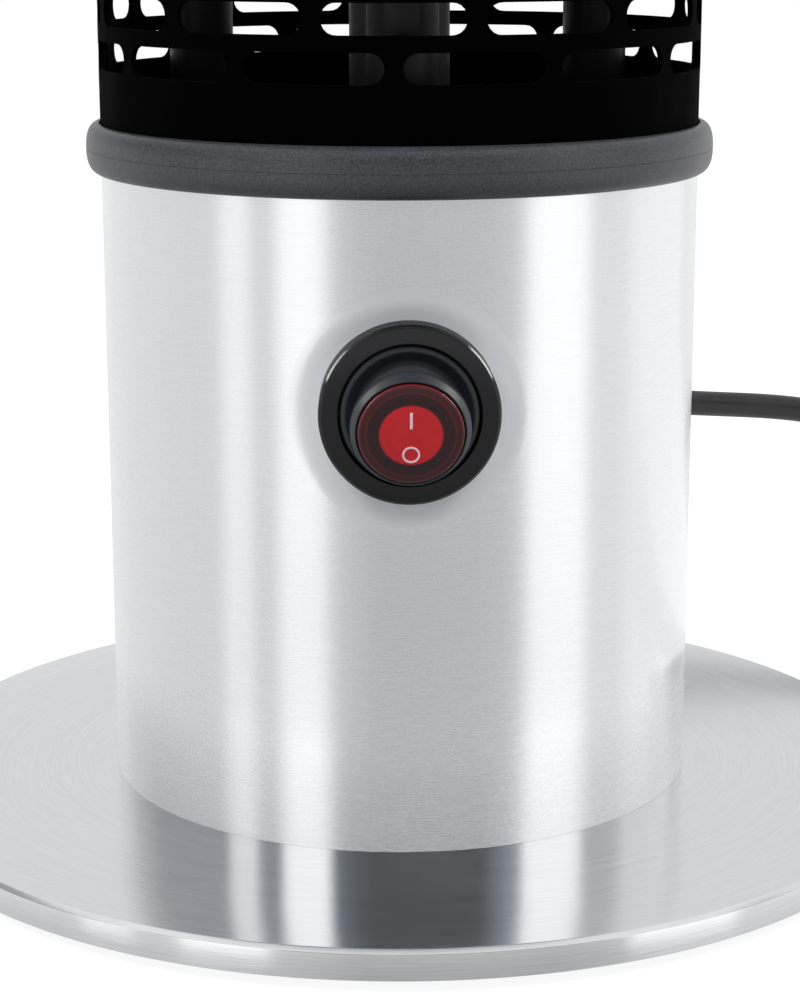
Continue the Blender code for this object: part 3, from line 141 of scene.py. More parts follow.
def splitOf(tree, vector):
    return addNode(tree, "ShaderNodeSeparateXYZ", {0: vector}).outputs


def vectorOf(tree, x, y, z):
    return addNode(tree, "ShaderNodeCombineXYZ", {0: x, 1: y, 2: z}).outputs[0]


def lengthOf(tree, x, y, z=0.0):
    return addNode(
        tree, "ShaderNodeVectorMath", {0: vectorOf(tree, x, y, z)}, operation="LENGTH"
    ).outputs["Value"]


def mixTone(tree, share, first, second):
    return calc(tree, "MULTIPLY_ADD", share, calc(tree, "SUBTRACT", second, first), first)


socketKinds = {  # every other socket is a plain number
    "Vector": "Vector", "Geometry": "Geometry", "Material": "Material", "Count": "Int", "Rows": "Int",
}


def newTree(name, kind, inputs, outputs):
    tree = bpy.data.node_groups.new(name, kind)
    for side, labels in (("INPUT", inputs), ("OUTPUT", outputs)):
        for label in labels:
            socket = "NodeSocket" + socketKinds.get(label, "Float")
            tree.interface.new_socket(name=label, in_out=side, socket_type=socket)
    return tree, addNode(tree, "NodeGroupInput").outputs


# effects that several finishes share

def makeStreaks():  # long thin brush marks: long across X and Y, thin along Z
    tree, given = newTree("brushStreaks", "ShaderNodeTree", ["Vector", "Length", "Width"], ["Streaks"])
    x, y, z = splitOf(tree, given["Vector"])
    layers = []
    for longShare, thinShare, shift in ((1.0, 1.0, 0.0), (0.35, 0.42, 31.7)):
        length = calc(tree, "MULTIPLY", given["Length"], longShare)
        width = calc(tree, "MULTIPLY", given["Width"], thinShare)
        across = calc(tree, "ADD", calc(tree, "DIVIDE", x, length), shift)
        spot = vectorOf(tree, across, calc(tree, "DIVIDE", y, length), calc(tree, "DIVIDE", z, width))
        noise = addNode(tree, "ShaderNodeTexNoise", {"Vector": spot, "Scale": 1.0, "Detail": 2.0})
        layers.append(noise.outputs[0])
    both = mixTone(tree, 0.42, *layers)
    addNode(tree, "NodeGroupOutput", {"Streaks": remap(tree, both, 0.0, 1.0, 0.3, 0.7)})
    return tree


def makeMottle():  # slow cloudy change over a surface
    tree, given = newTree("mottle", "ShaderNodeTree", ["Vector", "Size"], ["Clouds"])
    scale = calc(tree, "DIVIDE", 1.0, given["Size"])
    noise = addNode(tree, "ShaderNodeTexNoise", {"Vector": given["Vector"], "Scale": scale, "Detail": 3.0})
    addNode(tree, "NodeGroupOutput", {"Clouds": remap(tree, noise.outputs[0], 0.0, 1.0, 0.32, 0.68)})
    return tree


def makeGrain():  # fine moulded or flocked grain
    tree, given = newTree("grain", "ShaderNodeTree", ["Vector", "Size"], ["Height", "Specks"])
    spot = {"Vector": given["Vector"], "Scale": calc(tree, "DIVIDE", 1.0, given["Size"])}
    noise = addNode(tree, "ShaderNodeTexNoise", {**spot, "Detail": 2.0, "Roughness": 0.65}).outputs[0]
    cells = addNode(tree, "ShaderNodeTexVoronoi", spot).outputs["Distance"]
    height = calc(tree, "MULTIPLY_ADD", cells, 0.35, noise)
    addNode(tree, "NodeGroupOutput", {
        "Height": remap(tree, height, 0.0, 1.0, 0.25, 1.0),
        "Specks": remap(tree, noise, 0.0, 1.0, 0.35, 0.72),
    })
    return tree


streaksTree = makeStreaks()
mottleTree = makeMottle()
grainTree = makeGrain()


def useGroup(tree, group, place, **inputs):
    made = addNode(tree, "ShaderNodeGroup", node_tree=group)
    for key, value in {"Vector": place, **inputs}.items():
        plug(tree, value, made.inputs[key])
    return list(made.outputs)


def newFinish(name, **numbers):  # a material with its shader, and the numbers that are the same all over
    made = bpy.data.materials.new(name)
    made.use_nodes = True
    tree = made.node_tree
    shader = tree.nodes["Principled BSDF"]
    for label, value in numbers.items():
        shader.inputs[label.replace("_", " ")].default_value = value
    place = addNode(tree, "ShaderNodeTexCoord").outputs["Object"]
    return made, tree, shader, place


def dress(tree, shader, colour, height, strength, distance, rough=None):
    plug(tree, colour, shader.inputs["Base Color"])
    if rough is not None:
        plug(tree, rough, shader.inputs["Roughness"])
    relief = addNode(tree, "ShaderNodeBump", {"Height": height, "Strength": strength, "Distance": distance})
    plug(tree, relief.outputs[0], shader.inputs["Normal"])


# finishes

steelFacts = {
    "light": (0.86, 0.87, 0.885),
    "dark": (0.77, 0.78, 0.795),
    "rough": (0.24, 0.30),
    "anisotropic": 0.85,
    "streakLength": 0.008,
    "streakWidth": 0.00022,
    "relief": 0.000005,
    "cloudSize": 0.05,
    "cloudShare": 0.35,
    "haze": 0.0,
    "crisp": 0.55,
}
dishFacts = {  # the press leaves a duller dish round the switch, out to the end distance from its axis
    "start": 0.0255, "end": 0.0300, "dull": 0.24, "rougher": 0.7, "lessMetal": 2.2, "tint": 4.0,
    "colour": (0.86, 0.88, 0.92),
}


def brushedSteel(name, facts, concentric=False, dish=None):
    made, tree, shader, place = newFinish(
        name, Metallic=1.0, Anisotropic=facts["anisotropic"], Anisotropic_Rotation=0.25
    )
    tangent = addNode(tree, "ShaderNodeTangent", direction_type="RADIAL", axis="Z")
    plug(tree, tangent.outputs[0], shader.inputs["Tangent"])
    x, y, z = splitOf(tree, place)
    where = place
    if concentric:  # brushed round the axis: the thin way of the marks is along the radius
        where = vectorOf(tree, x, y, calc(tree, "ADD", lengthOf(tree, x, y), z))
    marks, = useGroup(tree, streaksTree, where, Length=facts["streakLength"], Width=facts["streakWidth"])
    clouds, = useGroup(tree, mottleTree, place, Size=facts["cloudSize"])
    colour = tint(tree, marks, facts["dark"], facts["light"])
    rough = remap(tree, mixTone(tree, facts["cloudShare"], marks, clouds), *facts["rough"])
    if dish:
        away = lengthOf(tree, x, calc(tree, "SUBTRACT", z, switchFacts["level"]))
        dull = remap(tree, away, dish["dull"], 0.0, dish["start"], dish["end"])
        dull = calc(tree, "MULTIPLY", calc(tree, "LESS_THAN", y, 0.0), dull)
        rough = calc(tree, "MULTIPLY_ADD", dull, dish["rougher"], rough)
        plug(tree, calc(tree, "MULTIPLY_ADD", dull, -dish["lessMetal"], 1.0), shader.inputs["Metallic"])
        colour = tint(tree, calc(tree, "MULTIPLY", dull, dish["tint"]), colour, dish["colour"])
    mirrored = addNode(tree, "ShaderNodeLightPath").outputs["Is Glossy Ray"]
    if facts["haze"]:  # what the housing mirrors of the disc is paler than the disc itself
        plug(tree, calc(tree, "MULTIPLY_ADD", mirrored, -facts["haze"], 1.0), shader.inputs["Metallic"])
    if facts["crisp"]:  # and what the disc mirrors of the housing is crisper
        rough = calc(tree, "MULTIPLY", rough, calc(tree, "MULTIPLY_ADD", mirrored, -facts["crisp"], 1.0))
    dress(tree, shader, colour, marks, 1.0, facts["relief"], rough)
    return made


def plainMetal(name, light, dark, rough=(0.28, 0.42), grainSize=0.0009):
    made, tree, shader, place = newFinish(name, Metallic=1.0)
    height, specks = useGroup(tree, grainTree, place, Size=grainSize)
    clouds, = useGroup(tree, mottleTree, place, Size=0.012)
    dress(tree, shader, tint(tree, clouds, dark, light), height, 0.6, 0.00002, remap(tree, specks, *rough))
    return made


def mouldedBlack(name, colour, lighter, rough, grainSize, relief, shine=0.5):
    made, tree, shader, place = newFinish(name, Specular_IOR_Level=shine)
    height, specks = useGroup(tree, grainTree, place, Size=grainSize)
    clouds, = useGroup(tree, mottleTree, place, Size=0.018)
    both = tint(tree, mixTone(tree, 0.5, specks, clouds), colour, lighter)
    dress(tree, shader, both, height, 0.7, relief, remap(tree, clouds, *rough))
    return made


def trimPaint(name):  # a fine textured dark grey paint
    made, tree, shader, place = newFinish(name, Specular_IOR_Level=0.6)
    height, specks = useGroup(tree, grainTree, place, Size=0.00055)
    clouds, = useGroup(tree, mottleTree, place, Size=0.03)
    speckled = tint(tree, specks, (0.013, 0.014, 0.018), (0.058, 0.062, 0.072))
    colour = tint(tree, calc(tree, "MULTIPLY", clouds, 0.25), speckled, (0.026, 0.028, 0.033))
    dress(tree, shader, colour, height, 0.8, 0.00003, remap(tree, clouds, 0.36, 0.43))
    return made


def flockedBlack(name):  # heat-proof velvet-like coating
    made, tree, shader, place = newFinish(
        name, Specular_IOR_Level=0.02, Sheen_Weight=0.006, Sheen_Roughness=0.6
    )
    shader.inputs["Sheen Tint"].default_value = (0.35, 0.36, 0.40, 1.0)
    height, specks = useGroup(tree, grainTree, place, Size=0.00035)
    clouds, = useGroup(tree, mottleTree, place, Size=0.02)
    share = calc(tree, "MULTIPLY", specks, clouds)
    colour = tint(tree, share, (0.0001, 0.0001, 0.0002), (0.0007, 0.0007, 0.0008))
    dress(tree, shader, colour, height, 0.9, 0.00008, remap(tree, clouds, 0.82, 0.95))
    return made


def ceramicGrey(name):
    made, tree, shader, place = newFinish(name, Specular_IOR_Level=0.4)
    height, specks = useGroup(tree, grainTree, place, Size=0.0008)
    clouds, = useGroup(tree, mottleTree, place, Size=0.008)
    base = tint(tree, clouds, (0.40, 0.385, 0.35), (0.50, 0.485, 0.45))
    colour = tint(tree, calc(tree, "MULTIPLY", specks, 0.3), base, (0.30, 0.28, 0.25))
    dress(tree, shader, colour, height, 0.5, 0.00005, remap(tree, specks, 0.5, 0.75))
    return made


switchFacts = {
    "level": 0.1255,
    "pivotDepth": 0.0824,
    "tilt": 12.0,
}


def switchPlace(tilt=0.0):  # local +Z runs out along the switch, local +Y runs up
    turn = Matrix.Rotation(math.radians(90 + tilt), 4, "X")
    return Matrix.Translation((0, -switchFacts["pivotDepth"], switchFacts["level"])) @ turn


rockerPlace = switchPlace(switchFacts["tilt"])
# the lens is opaque: its face has the rocker's own red, while the rings round it are painted light, the wall
# rings painted shade where the black below would show through a clear rim and the band and between rings a
# painted glow and highlight where light would come through it
lensColourAndPaintedLight = {
    "face": (0.60, 0.0100, 0.017),
    "wall": (0.017, 0.0026, 0.0040),
    "band": (0.085, 0.0050, 0.0080),
    "between": (0.032, 0.0044, 0.0065),
    "reach": 0.013,  # the rings' places are shares of this distance from the lens's middle
    "rings": [(0.0, "face"), (0.575, "face"), (0.592, "band"), (0.62, "wall"), (0.80, "wall"), (0.83, "band"),
              (0.87, "between"), (0.915, "between"), (0.945, "band"), (0.97, "band"), (1.0, "wall")],
}


def redLens(name, facts):
    made, tree, shader, place = newFinish(
        name, Roughness=0.14, IOR=1.46, Coat_Weight=0.1, Coat_Roughness=0.05
    )
    local = addNode(tree, "ShaderNodeMapping", {
        "Vector": place,
        "Location": tuple(rockerPlace.to_translation()),
        "Rotation": tuple(rockerPlace.to_euler()),
    }, vector_type="TEXTURE")
    x, y, _ = splitOf(tree, local.outputs[0])
    share = calc(tree, "DIVIDE", lengthOf(tree, x, y), facts["reach"])
    # the rings round the face are painted light: wall rings painted shade, band and between rings painted
    # glow and highlight
    base = ramp(tree, share, [(ring, facts[key]) for ring, key in facts["rings"]])
    clouds, = useGroup(tree, mottleTree, place, Size=0.004)
    height, _ = useGroup(tree, grainTree, place, Size=0.0016)
    colour = tint(tree, calc(tree, "MULTIPLY", clouds, 0.12), base, (0.10, 0.001, 0.002))
    dress(tree, shader, colour, height, 0.25, 0.00002)
    return made


def markPaint(name):
    made, tree, shader, place = newFinish(name, Roughness=0.4)
    height, specks = useGroup(tree, grainTree, place, Size=0.0003)
    dress(tree, shader, tint(tree, specks, (0.84, 0.60, 0.65), (0.95, 0.72, 0.77)), height, 0.3, 0.00001)
    return made


def wireSleeve(name, colour):
    made, tree, shader, place = newFinish(name, Specular_IOR_Level=0.4)
    height, _ = useGroup(tree, grainTree, place, Size=0.0007)
    clouds, = useGroup(tree, mottleTree, place, Size=0.004)
    both = tint(tree, clouds, tuple(0.72 * part for part in colour), colour)
    dress(tree, shader, both, height, 0.4, 0.00002, remap(tree, clouds, 0.38, 0.52))
    return made


housingSteel = brushedSteel("housingSteel", steelFacts, dish=dishFacts)
baseSteel = brushedSteel("baseSteel", {
    **steelFacts, "rough": (0.13, 0.19), "streakLength": 0.02, "streakWidth": 0.0005, "relief": 0.000004,
    "haze": 0.3, "crisp": 0.0,
}, True)
lidSteel = brushedSteel("lidSteel", steelFacts, True)
zincSteel = plainMetal("zincSteel", (0.62, 0.63, 0.64), (0.50, 0.51, 0.53))
rawSteel = plainMetal("rawSteel", (0.42, 0.43, 0.44), (0.33, 0.335, 0.345), (0.36, 0.52))
brightNut = plainMetal("brightNut", (0.82, 0.82, 0.83), (0.74, 0.74, 0.75), (0.10, 0.18), 0.002)
trimGrey = trimPaint("trimGrey")
cageBlack = flockedBlack("cageBlack")
elementCeramic = ceramicGrey("elementCeramic")
blackFacts = {  # colour, lighter colour, roughness, grain size, relief and, where it isn't 0.5, shine
    # the cage edges' lighter colour is a painted sheen
    "cageEdge": ((0.05, 0.05, 0.052), (0.12, 0.12, 0.124), (0.40, 0.55), 0.0006, 0.00001),
    "postBlack": ((0.0020, 0.0020, 0.0024), (0.0045, 0.0045, 0.0050), (0.34, 0.48), 0.0010, 0.00001, 0.22),
    "elementBlack": ((0.0045, 0.0045, 0.0050), (0.0100, 0.0098, 0.0100), (0.40, 0.55), 0.0012, 0.00002),
    "bezelGloss": ((0.0035, 0.0035, 0.0048), (0.0060, 0.0060, 0.0078), (0.13, 0.17), 0.004, 0.000004, 0.36),
    "bezelSide": ((0.0030, 0.0030, 0.0040), (0.0055, 0.0055, 0.0070), (0.42, 0.52), 0.0006, 0.00001, 0.08),
    "switchBlack": ((0.012, 0.012, 0.013), (0.020, 0.020, 0.022), (0.35, 0.48), 0.0009, 0.00003),
    "bootRubber": ((0.010, 0.012, 0.016), (0.020, 0.023, 0.030), (0.34, 0.46), 0.0005, 0.00002),
    "footRubber": ((0.014, 0.014, 0.015), (0.026, 0.026, 0.027), (0.62, 0.78), 0.0008, 0.00006),
    "cordRubber": ((0.013, 0.013, 0.014), (0.023, 0.023, 0.025), (0.40, 0.52), 0.0006, 0.00003),
    "plugBlack": ((0.013, 0.013, 0.014), (0.024, 0.024, 0.026), (0.42, 0.58), 0.0007, 0.00004),
}
(
    cageEdge, postBlack, elementBlack, bezelGloss, bezelSide,
    switchBlack, bootRubber, footRubber, cordRubber, plugBlack,
) = [mouldedBlack(name, *numbers) for name, numbers in blackFacts.items()]
lensRed = redLens("lensRed", lensColourAndPaintedLight)
markWhite = markPaint("markWhite")
wireBrown = wireSleeve("wireBrown", (0.12, 0.045, 0.02))
wireBlack = wireSleeve("wireBlack", (0.02, 0.02, 0.022))
wireBlue = wireSleeve("wireBlue", (0.02, 0.07, 0.25))
print("stage: finishes")


# mesh helpers

def easeUp(start, end, value):
    share = min(1.0, max(0.0, (value - start) / (end - start)))
    return share * share * (3 - 2 * share)


def turns(count, start=0.0, end=math.tau):  # even angles, with both ends
    return [start + (end - start) * step / count for step in range(count + 1)]


def store(bm, mesh, smoothAngle=32.0, weld=True):  # closes the seams, turns the faces out and smooths
    if weld:
        bmesh.ops.remove_doubles(bm, verts=bm.verts[:], dist=1e-7)
    bmesh.ops.recalc_face_normals(bm, faces=bm.faces[:])
    bm.to_mesh(mesh)
    bm.free()
    mesh.shade_smooth()
    mesh.set_sharp_from_angle(angle=math.radians(smoothAngle))


def link(name, data):
    made = bpy.data.objects.new(name, data)
    scene.collection.objects.link(made)
    return made


def meshObject(name, bm, material, smoothAngle=32.0):
    mesh = bpy.data.meshes.new(name)
    store(bm, mesh, smoothAngle)
    mesh.materials.append(material)
    return link(name, mesh)


def absorb(bm, other):  # the other mesh's faces join this one
    carrier = bpy.data.meshes.new("carrier")
    other.to_mesh(carrier)
    other.free()
    bm.from_mesh(carrier)
    bpy.data.meshes.remove(carrier)
    return bm


def flatSheet(corners, level):
    bm = bmesh.new()
    bm.faces.new([bm.verts.new((x, y, level)) for x, y in corners])
    return bm


def bentBar(corners, middle, half, steps):  # a bar with a four-sided section, bent round the Z axis
    bm = bmesh.new()
    rows = []
    for angle in turns(steps, middle - half, middle + half):
        rows.append([bm.verts.new((r * math.cos(angle), r * math.sin(angle), level)) for r, level in corners])
    for a, b in zip(rows, rows[1:]):
        for i in range(4):
            bm.faces.new([a[i], a[(i + 1) % 4], b[(i + 1) % 4], b[i]])
    bm.faces.new(rows[0])
    bm.faces.new(rows[-1][::-1])
    return bm


def soften(corners, closed=False, steps=5):  # rounds every corner that carries a radius
    points = []
    count = len(corners)
    for number, corner in enumerate(corners):
        here = Vector(corner[:2])
        size = corner[2] if len(corner) > 2 else 0.0
        if size == 0.0 or (not closed and number in (0, count - 1)):
            points.append(tuple(here))
            continue
        back = Vector(corners[number - 1][:2]) - here
        ahead = Vector(corners[(number + 1) % count][:2]) - here
        run = size / math.tan(back.angle(ahead) / 2)
        start = here + back.normalized() * min(run, back.length * 0.49)
        end = here + ahead.normalized() * min(run, ahead.length * 0.49)
        for step in range(steps + 1):
            t = step / steps
            points.append(tuple(start.lerp(here, t).lerp(here.lerp(end, t), t)))
    return points


def spinMesh(profile, segments, closed=False, place=None):
    bm = bmesh.new()
    rings = []
    for radius, height in profile:
        if radius < 1e-7:
            rings.append([bm.verts.new((0, 0, height))])
            continue
        around = turns(segments)[:-1]
        rings.append([bm.verts.new((radius * math.cos(a), radius * math.sin(a), height)) for a in around])
    pairs = list(zip(rings, rings[1:]))
    if closed:
        pairs.append((rings[-1], rings[0]))
    for low, high in pairs:
        for step in range(segments):
            after = (step + 1) % segments
            corners = (
                low[step % len(low)], low[after % len(low)], high[after % len(high)], high[step % len(high)]
            )
            corners = list(dict.fromkeys(corners))  # at the axis the face is a triangle
            if len(corners) > 2:
                bm.faces.new(corners)
    if place is not None:
        bmesh.ops.transform(bm, matrix=place, verts=bm.verts[:])
    return bm


def spin(name, profile, segments, material, closed=False, place=None, smoothAngle=32.0):
    return meshObject(name, spinMesh(profile, segments, closed, place), material, smoothAngle)


def freeze(piece):  # the modifiers' result becomes the piece's plain mesh
    graph = bpy.context.evaluated_depsgraph_get()
    mesh = bpy.data.meshes.new_from_object(piece.evaluated_get(graph), depsgraph=graph)
    piece.modifiers.clear()
    piece.data = mesh
    mesh.name = piece.name
    return piece


def carve(piece, tools):
    for tool in tools:
        cut = piece.modifiers.new("cut", "BOOLEAN")
        cut.operation = "DIFFERENCE"
        cut.solver = "EXACT"
        cut.object = tool
    freeze(piece)
    for tool in tools:
        bpy.data.objects.remove(tool)
    piece.data.shade_smooth()
    piece.data.set_sharp_from_angle(angle=math.radians(32))


def rod(start, end, radius, material):  # only used to cut holes
    axis = Vector(end) - Vector(start)
    place = Matrix.Translation(start) @ axis.to_track_quat("Z", "Y").to_matrix().to_4x4()
    outline = [(0, 0), (radius, 0), (radius, axis.length), (0, axis.length)]
    return spin("rod", outline, 24, material, place=place)


def settle(piece, body, slot, *nodes):
    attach(piece, body)
    if nodes:
        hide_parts(*nodes)
    return piece


# Geometry Nodes helpers

def newNodes(name, *inputs):
    return newTree(name, "GeometryNodeTree", ["Geometry", *inputs], ["Geometry"])


def closeNodes(tree, geometry, material):
    real = addNode(tree, "GeometryNodeRealizeInstances", {0: geometry})
    coloured = addNode(tree, "GeometryNodeSetMaterial", {"Geometry": real.outputs[0], "Material": material})
    addNode(tree, "NodeGroupOutput", {"Geometry": coloured.outputs[0]})
    return tree


def runNodes(piece, tree, **values):
    live = piece.modifiers.new(tree.name, "NODES")
    live.node_group = tree
    for item in tree.interface.items_tree:
        key = item.name.replace(" ", "")
        key = key[0].lower() + key[1:]
        if item.in_out == "INPUT" and key in values:
            live[item.identifier] = values[key]
    freeze(piece)
    bm = bmesh.new()
    bm.from_mesh(piece.data)
    store(bm, piece.data)


def upOf(tree, z):
    return vectorOf(tree, 0.0, 0.0, z)


def copiesOn(tree, points, copied, **inputs):
    given = {"Points": points, "Instance": copied, **inputs}
    return addNode(tree, "GeometryNodeInstanceOnPoints", given).outputs[0]


def makeCircleNodes():  # copies of the piece's own mesh, spaced round a circle
    tree, given = newNodes("copiesOnCircle", "Count", "Circle", "Turn", "Material")
    ring = addNode(tree, "GeometryNodeMeshCircle", {"Vertices": given["Count"], "Radius": given["Circle"]})
    turned = addNode(
        tree, "GeometryNodeTransform", {"Geometry": ring.outputs[0], "Rotation": upOf(tree, given["Turn"])}
    )
    step = calc(tree, "DIVIDE", math.tau, given["Count"])
    number = addNode(tree, "GeometryNodeInputIndex").outputs[0]
    facing = upOf(tree, calc(tree, "MULTIPLY_ADD", number, step, given["Turn"]))
    copies = copiesOn(tree, turned.outputs[0], given["Geometry"], Rotation=facing)
    return closeNodes(tree, copies, given["Material"])


def makeRibNodes():  # the piece's own mesh, a rib of radius 1, repeated up Z with a changing size
    tree, given = newNodes(
        "ribsAlongAxis", "Count", "Start", "Spacing", "First Radius", "Last Radius", "Material"
    )
    line = addNode(tree, "GeometryNodeMeshLine", {
        "Count": given["Count"],
        "Start Location": upOf(tree, given["Start"]),
        "Offset": upOf(tree, given["Spacing"]),
    })
    number = addNode(tree, "GeometryNodeInputIndex").outputs[0]
    share = calc(tree, "DIVIDE", number, calc(tree, "SUBTRACT", given["Count"], 1))
    radius = mixTone(tree, share, given["First Radius"], given["Last Radius"])
    copies = copiesOn(tree, line.outputs[0], given["Geometry"], Scale=vectorOf(tree, radius, radius, 1.0))
    return closeNodes(tree, copies, given["Material"])


def makeSlotNodes():  # half of the cage: a flat sheet with rows of round-ended slots, rolled round the axis
    tree, given = newNodes(
        "slottedSheet", "Rows", "Half Length", "Bottom", "Top", "First Slot", "Row Pitch", "Slot Pitch",
        "Slot Length", "Slot Height", "Short Length", "Short Place", "Shift", "Radius", "Sheet",
        "Middle Angle", "Material",
    )
    columns = 7  # slots in a row of each half
    size = {"Size X": 1.0, "Size Y": 1.0, "Vertices X": columns, "Vertices Y": given["Rows"]}
    grid = addNode(tree, "GeometryNodeMeshGrid", size)
    number = addNode(tree, "GeometryNodeInputIndex").outputs[0]
    column = calc(tree, "FLOOR", calc(tree, "DIVIDE", calc(tree, "ADD", number, 0.5), given["Rows"]))
    row = calc(tree, "SUBTRACT", number, calc(tree, "MULTIPLY", column, given["Rows"]))
    odd = calc(tree, "MODULO", row, 2.0)
    even = calc(tree, "SUBTRACT", 1.0, odd)
    fromMiddle = calc(tree, "SUBTRACT", column, columns // 2)
    steps = calc(tree, "MULTIPLY_ADD", even, 0.5, fromMiddle)
    plain = calc(tree, "MULTIPLY", steps, given["Slot Pitch"])
    atEnd = calc(tree, "MULTIPLY", odd, calc(tree, "GREATER_THAN", calc(tree, "ABSOLUTE", fromMiddle), 2.5))
    endPlace = calc(tree, "MULTIPLY", calc(tree, "SIGN", fromMiddle), given["Short Place"])
    along = calc(tree, "ADD", mixTone(tree, atEnd, plain, endPlace), given["Shift"])
    level = calc(tree, "MULTIPLY_ADD", row, given["Row Pitch"], given["First Slot"])
    level = calc(tree, "MULTIPLY_ADD", given["Slot Height"], 0.5, level)
    spot = {"Geometry": grid.outputs[0], "Position": vectorOf(tree, along, level, 0.0)}
    spread = addNode(tree, "GeometryNodeSetPosition", spot)
    extra = calc(tree, "MULTIPLY", even, calc(tree, "GREATER_THAN", fromMiddle, 2.5))
    longOnes = calc(tree, "SUBTRACT", calc(tree, "SUBTRACT", 1.0, atEnd), extra)
    outlines = []
    for length, points, chosen in ((given["Slot Length"], 64, longOnes), (given["Short Length"], 36, atEnd)):
        size = {"Width": length, "Height": given["Slot Height"]}
        box = addNode(tree, "GeometryNodeCurvePrimitiveQuadrilateral", size)
        corner = calc(tree, "MULTIPLY", given["Slot Height"], 0.497)
        rounding = {"Curve": box.outputs[0], "Count": 8, "Radius": corner}
        fillet = addNode(tree, "GeometryNodeFilletCurve", rounding, mode="POLY")
        evened = addNode(tree, "GeometryNodeResampleCurve", {"Curve": fillet.outputs[0], "Count": points})
        outlines.append(copiesOn(tree, spread.outputs[0], evened.outputs[0], Selection=chosen))
    tall = calc(tree, "SUBTRACT", given["Top"], given["Bottom"])
    size = {"Width": calc(tree, "MULTIPLY", given["Half Length"], 2.0), "Height": tall}
    border = addNode(tree, "GeometryNodeCurvePrimitiveQuadrilateral", size)
    middle = vectorOf(tree, 0.0, calc(tree, "MULTIPLY_ADD", tall, 0.5, given["Bottom"]), 0.0)
    lifted = addNode(tree, "GeometryNodeTransform", {"Geometry": border.outputs[0], "Translation": middle})
    divided = addNode(tree, "GeometryNodeSubdivideCurve", {"Curve": lifted.outputs[0], "Cuts": 72})
    together = addNode(tree, "GeometryNodeJoinGeometry")
    for source in (*outlines, divided.outputs[0]):
        tree.links.new(source, together.inputs[0])
    real = addNode(tree, "GeometryNodeRealizeInstances", {0: together.outputs[0]})
    flat = addNode(tree, "GeometryNodeFillCurve", {0: real.outputs[0]}, mode="TRIANGLES")
    raised = addNode(tree, "GeometryNodeExtrudeMesh", {
        "Mesh": flat.outputs[0], "Offset": (0.0, 0.0, 1.0), "Offset Scale": given["Sheet"],
        "Individual": False,
    })
    underside = addNode(tree, "GeometryNodeFlipFaces", {0: flat.outputs[0]})
    slab = addNode(tree, "GeometryNodeJoinGeometry")
    tree.links.new(raised.outputs[0], slab.inputs[0])
    tree.links.new(underside.outputs[0], slab.inputs[0])
    welded = addNode(tree, "GeometryNodeMergeByDistance", {"Geometry": slab.outputs[0], "Distance": 0.000002})
    x, y, z = splitOf(tree, addNode(tree, "GeometryNodeInputPosition").outputs[0])
    angle = calc(tree, "ADD", calc(tree, "DIVIDE", x, given["Radius"]), given["Middle Angle"])
    reach = calc(tree, "ADD", calc(tree, "SUBTRACT", given["Radius"], given["Sheet"]), z)
    east = calc(tree, "MULTIPLY", reach, calc(tree, "SINE", angle))
    south = calc(tree, "MULTIPLY", calc(tree, "MULTIPLY", reach, calc(tree, "COSINE", angle)), -1.0)
    spot = {"Geometry": welded.outputs[0], "Position": vectorOf(tree, east, south, y)}
    rolled = addNode(tree, "GeometryNodeSetPosition", spot)
    return closeNodes(tree, rolled.outputs[0], given["Material"])


circleNodes = makeCircleNodes()
ribNodes = makeRibNodes()
slotNodes = makeSlotNodes()


# lead: free from the gland round to the floor, then wound up in two layers beside the base

leadFacts = {
    "radius": 0.0046,
    "gap": 0.0003,
    "coilCentre": (0.222, 0.135),
    "coilRadius": 0.063,
    "coilSpacing": 0.0006,
    "leadIn": 0.012,
    "turnsPerLayer": 2,
    "plugLevel": 0.0187,
    "glandLevel": 0.074,
    "pointSpacing": 0.0118,
    "pointsPerTurn": 32,
    "route": [
        (0.0, 0.108, 0.074), (0.0, 0.137, 0.074), (0.004, 0.165, 0.0736), (0.018, 0.193, 0.0722),
        (0.044, 0.215, 0.0701), (0.080, 0.2275, 0.0675), (0.118, 0.2315, 0.0650), (0.157, 0.2330, 0.0621),
        (0.194, 0.2315, 0.0540), (0.229, 0.2255, 0.0411), (0.2575, 0.2110, 0.0262), (0.2755, 0.1905, 0.0136),
        (0.2835, 0.1695, 0.0062),
    ],
}


def smoothRoute(route, spacing):  # even points on one smooth curve through the route's own points
    knots = [Vector(point) for point in route]
    knots = [2 * knots[0] - knots[1]] + knots + [2 * knots[-1] - knots[-2]]
    fine = []
    for a, b, c, d in zip(knots, knots[1:], knots[2:], knots[3:]):
        times = [0.0]
        for start, end in ((a, b), (b, c), (c, d)):
            times.append(times[-1] + math.sqrt((end - start).length))
        for step in range(24):
            t = times[1] + (times[2] - times[1]) * step / 24
            ab = a.lerp(b, t / times[1])
            bc = b.lerp(c, (t - times[1]) / (times[2] - times[1]))
            cd = c.lerp(d, (t - times[2]) / (times[3] - times[2]))
            abc = ab.lerp(bc, t / times[2])
            bcd = bc.lerp(cd, (t - times[1]) / (times[3] - times[1]))
            fine.append(abc.lerp(bcd, (t - times[1]) / (times[2] - times[1])))
    fine.append(knots[-2])
    along = [0.0]
    for start, end in zip(fine, fine[1:]):
        along.append(along[-1] + (end - start).length)
    count = round(along[-1] / spacing)
    points, spot = [], 0
    for step in range(count + 1):
        wanted = along[-1] * step / count
        while spot < len(fine) - 2 and along[spot + 1] < wanted:
            spot += 1
        share = (wanted - along[spot]) / (along[spot + 1] - along[spot])
        points.append(fine[spot].lerp(fine[spot + 1], share))
    return points


